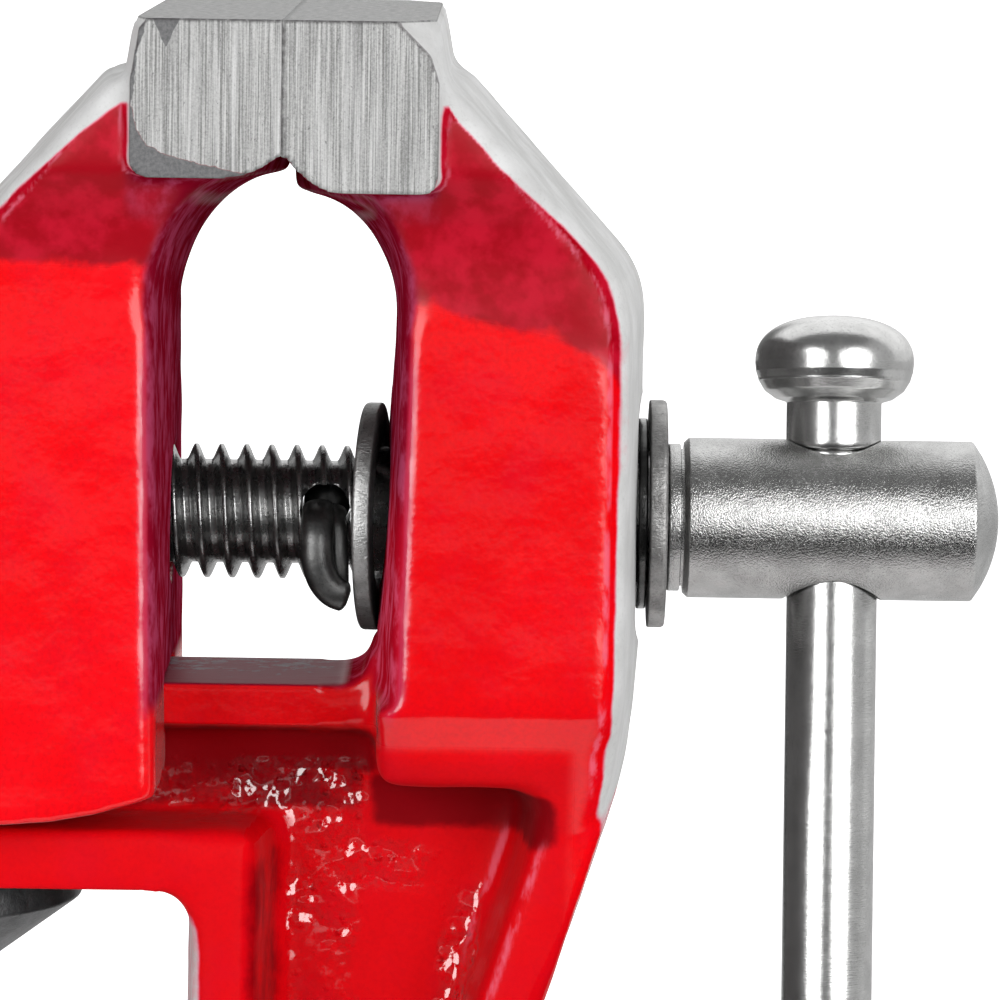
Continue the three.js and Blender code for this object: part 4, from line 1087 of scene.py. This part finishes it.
def add_lead_screw(black):
    low, high = span("lead_screw")
    shoulder = JAW_PLANE + LEAD_SHOULDER_OUT - low[0]
    head = HEAD_X - low[0]
    shank = [(shoulder + 0.05, SHANK_RADIUS), (head - 0.2, SHANK_RADIUS), (head - 0.1, SPIGOT_RADIUS),
             (high[0] - low[0], SPIGOT_RADIUS)]
    shape = aimed(threaded(shoulder, LEAD_CREST, shank), ALONG_X, (low[0], 0, SCREW_Z))
    screw = make_piece("lead_thread", shape, "lead_screw", black, "lead_screw")
    cut_with(screw, aimed(rod(PIN_HOLE_RADIUS, -6.0, 6.0, 48), ALONG_Y, (PIN_HOLE_X, 0, PIN_HOLE_Z)))
    nickel = head_look("nickel_head", (1.0, 1.2, 1.2))
    add_head("lead_head", ALONG_X, (HEAD_X, 0, SCREW_Z), HANDLE_UP, "lead_screw", nickel, "screw_head")
    pieces = {"handle_bar": "lead_handle", "handle_lower_knob": "lead_handle_lower_knob",
              "handle_upper_knob": "lead_handle_upper_knob"}
    add_handle(pieces, HANDLE_UP, (HEAD_X + HEAD_TO_HOLE, 0, SCREW_Z), HANDLE_LOW, HANDLE_HIGH,
               "lead_handle", handle_looks("nickel", ALONG_Z))
    add_pin(dark_look("pin_steel", (92, 92, 92), (124, 124, 123), (0.34, 0.48), 0.12, 0.02))


def add_clamp(black):
    foot = CLAMP_HEAD_Z + 0.1
    top = span("clamp_screw")[1][2]
    neck = [(CLAMP_SHOULDER_Z + 0.02, 2.75), (CLAMP_SHOULDER_Z + 0.15, CLAMP_NECK_RADIUS),
            (CLAMP_CLIP[0], CLAMP_NECK_RADIUS), (CLAMP_CLIP[0], CLAMP_CLIP_RADIUS),
            (CLAMP_CLIP[1], CLAMP_CLIP_RADIUS), (CLAMP_CLIP[1], CLAMP_NECK_RADIUS),
            (CLAMP_TIP[0], CLAMP_NECK_RADIUS), (top, CLAMP_TIP[1])]
    shape = threaded(CLAMP_SHOULDER_Z - foot, 0.0, [(z - foot, radius) for z, radius in neck])
    make_piece("clamp_thread", aimed(shape, ALONG_Z, (0, 0, foot)), "clamp_screw",
               black, "clamp_screw")
    nickel = head_look("nickel_clamp_head", (1.2, 1.2, 1.0))
    add_head("clamp_head", (0, 0, -1), (0, 0, CLAMP_HEAD_Z), ALONG_X, "clamp_screw", nickel,
             "clamp_screw_head")
    pieces = {"clamp_bar": "clamp_handle", "clamp_left_knob": "clamp_handle_left_knob",
              "clamp_right_knob": "clamp_handle_right_knob"}
    add_handle(pieces, ALONG_X, (0, 0, CLAMP_HEAD_Z - HEAD_TO_HOLE), -CLAMP_HANDLE_REACH,
               CLAMP_HANDLE_REACH, "clamp_handle", handle_looks("nickel_clamp", ALONG_X))


def add_pad():
    """The swivel pad: a hub in a cone-backed disc, about the clamp screw's neck."""
    foot, top = span("swivel_pad")[0][2], span("swivel_pad")[1][2]
    hub = top - 4.7
    corners = [(PAD_BORE, hub), (5.1, hub), (5.1, top), (PAD_RADIUS, top), (PAD_RADIUS, top - 1.9),
               (4.9, foot), (PAD_BORE, foot)]
    profile = rounded([*corners, corners[0]], [0.0, 0.2, 0.3, 0.35, 0.4, 0.4, 0.0, 0.0])[:-1]
    grey = dark_look("pad_steel", (92, 93, 94), (128, 129, 130), (0.4, 0.55), 0.15, 0.05)
    make_piece("pad_disc", lathe(profile, 128), "pad", grey, "swivel_pad")


def add_washer(name, size, edge, axis, origin, body, material, node):
    """A washer of a radius and thickness, with a round on each face's outer edge."""
    radius, thickness = size
    corners = [(WASHER_BORE, 0.0), (radius, 0.0), (radius, thickness), (WASHER_BORE, thickness)]
    profile = rounded([*corners, corners[0]], [0.0, edge[0], edge[1], 0.0, 0.0])[:-1]
    make_piece(name, aimed(lathe(profile, 112), axis, origin), body, material, node)


def add_washers():
    size, height = (WASHER_RADIUS, WASHER_THICKNESS), SCREW_Z + WASHER_DROP
    rim = stamped_look("washer_rim", (176, 176, 175), (224, 224, 223), (0.38, 0.52))
    grey = stamped_look("thrust_steel", (136, 135, 134), (190, 189, 188), (0.38, 0.52))
    oily = dark_look("oily_ring", (40, 40, 40), (96, 96, 95), (0.15, 0.3), 0.6)
    add_washer("outer_washer", size, (0.12, 0.3), ALONG_X, (span("thrust_washer")[0][0], 0, height),
               "lead_screw", grey, "thrust_washer")
    add_washer("oiled_ring", (RING_RADIUS, RING_THICKNESS), (0.12, 0.12), ALONG_X,
               (span("seal_washer")[0][0], 0, height), "lead_screw", oily, "seal_washer")
    axis = (math.cos(INNER_TILT), math.sin(INNER_TILT), 0.0)
    seat = np.array((JAW_PLANE + INNER_SEAT_OUT, 0.0, SCREW_Z - WASHER_DROP)) - np.array(axis) * 1.15
    add_washer("throat_washer", size, (0.3, 0.12), axis, seat, "frame", rim,
               "inner_washer")


def dress_nodes():
    """The CAD nodes that are kept get a small bevel and a material."""
    for node in ("lead_nut", "pad_clip"):
        bevelled(nodes[node], CAD_EDGE, 2)
        steel = stamped_look(node + "_steel", (128, 127, 125), (170, 169, 167), (0.3, 0.5))
        nodes[node].data.materials.clear()
        nodes[node].data.materials.append(steel)


def build_vise():
    front_look, rear_look = CastingLook("red_enamel", False), CastingLook("rear_red_enamel", True)
    casting("jaw_casting", "fixed_body", "frame", False, front_look.material)
    casting("rear_jaw_casting", "moving_jaw", "rear_jaw", True, rear_look.material)
    black = dark_look("blackened_thread", (146, 146, 146), (184, 184, 183), (0.2, 0.36), 0.3)
    add_lead_screw(black)
    add_clamp(black)
    add_pad()
    add_washers()
    dress_nodes()


# Stage, light and camera
FLOOR_Z = -118.0
FLOOR_REACH = 9000
CARD_LIFT = 1.0
FRONT_CARD = ((-250, -1500), (900, -110))
SIDE_CARD = ((-2500, -1500), (-260, 1800))
BOX_DISTANCE = 600.0
BOX_LOW, BOX_HIGH = -75.0, 410.0
BOX_RADIANCE = 4.6
AIM = (30.0, 0.0)
CAMERA_PLACE = (37.0, -392.0, 63.5)
CAMERA_TARGET = (37.0, 0.0, 21.88)
CAMERA_ROLL = math.radians(0.85)
SENSOR = 36.0
FOCAL_LENGTH = 237.4


def stage_plane(name, low, high, z, material):
    """A level rectangle between two corners."""
    corners = [(low[0], low[1], z), (high[0], low[1], z), (high[0], high[1], z), (low[0], high[1], z)]
    plane = new_object(name, (corners, [(0, 1, 2, 3)]))
    plane.data.materials.append(material)
    return plane


def lay_floor():
    """A pale floor that reaches past the view, and dark cards on it that only reflections see."""
    look = Look("pale_floor")
    tone = look.mixed(look.grain(300.0), srgb(236, 236, 236), srgb(240, 240, 240))
    look.set(Base_Color=tone, Roughness=0.7, Specular_IOR_Level=0.2)
    look.set(Emission_Color=srgb(255, 255, 255), Emission_Strength=look.times(look.ray("Camera"), 0.9))
    stage_plane("floor", (-FLOOR_REACH, -FLOOR_REACH), (FLOOR_REACH, FLOOR_REACH), FLOOR_Z, look.material)
    dark = Look("dark_card")
    dark.set(Base_Color=srgb(34, 34, 34), Roughness=0.8, Specular_IOR_Level=0.1)
    for name, (low, high) in (("front_card", FRONT_CARD), ("side_card", SIDE_CARD)):
        card = stage_plane(name, low, high, FLOOR_Z + CARD_LIFT, dark.material)
        card.visible_camera = False
        card.visible_shadow = False


def soft_box(name, turn, width):
    """An upright soft box, turn degrees right of the camera."""
    angle = math.radians(turn)
    data = bpy.data.lights.new(name, "AREA")
    data.shape, data.size, data.size_y = "ELLIPSE", width * MM, (BOX_HIGH - BOX_LOW) * MM
    data.energy = BOX_RADIANCE * math.pi * data.size * data.size_y * math.pi / 4
    light = placed(name, data)
    away = Vector((math.sin(angle), -math.cos(angle), 0.0))
    middle = Vector((*AIM, (BOX_LOW + BOX_HIGH) / 2)) + away * BOX_DISTANCE
    light.location = middle * MM
    light.rotation_euler = (-away).to_track_quat("-Z", "Y").to_euler()
    light.visible_camera = False


def light_studio():
    """Two soft boxes beside a dark gap at the camera, a grey ceiling and a white room behind."""
    soft_box("left_box", -35.0, 430.0)
    soft_box("right_box", 31.0, 460.0)
    world = bpy.data.worlds.new("studio")
    bpy.context.scene.world = world
    world.use_nodes = True
    sky = Graph(world.node_tree)
    x, y, z = sky.split(sky.add("ShaderNodeTexCoord").outputs["Generated"])
    behind = sky.times(sky.step(y, -0.02, 0.16), sky.most(sky.step(x, -0.3, -0.05), sky.step(z, 0.35, 0.6)),
                       sky.between(sky.step(z, 0.1, 0.4), 0.8, 1.15))
    beside = sky.times(sky.step(x, 0.45, 0.75), 0.5)
    ceiling = sky.times(sky.step(z, 0.8, 0.92), 0.2)
    room = sky.most(behind, beside, ceiling, sky.between(sky.step(y, -0.95, -0.7), 0.07, 0.18))
    strength = sky.between(sky.ray("Camera"), room, 1.0)
    shade = sky.add("ShaderNodeBackground", {"Color": (1.0, 1.0, 1.0, 1.0), "Strength": strength})
    sky.add("ShaderNodeOutputWorld", {"Surface": shade.outputs[0]})
    bpy.context.scene.view_settings.view_transform = "Standard"


def set_camera():
    """The photograph's view: a long lens a little above the jaws, rolled slightly."""
    data = bpy.data.cameras.new("camera")
    data.sensor_width = SENSOR
    data.lens = FOCAL_LENGTH
    data.clip_start, data.clip_end = 0.01, 50.0
    view = placed("camera", data)
    place = Vector(CAMERA_PLACE)
    ahead = (Vector(CAMERA_TARGET) - place).normalized()
    flat = ahead.cross(Vector(ALONG_Z)).normalized()
    above = flat.cross(ahead)
    right = flat * math.cos(CAMERA_ROLL) + above * math.sin(CAMERA_ROLL)
    up = above * math.cos(CAMERA_ROLL) - flat * math.sin(CAMERA_ROLL)
    turn = Matrix((right, up, -ahead)).transposed()
    view.matrix_world = Matrix.Translation(place * MM) @ turn.to_4x4()
    bpy.context.scene.camera = view


build_vise()
lay_floor()
light_studio()
set_camera()
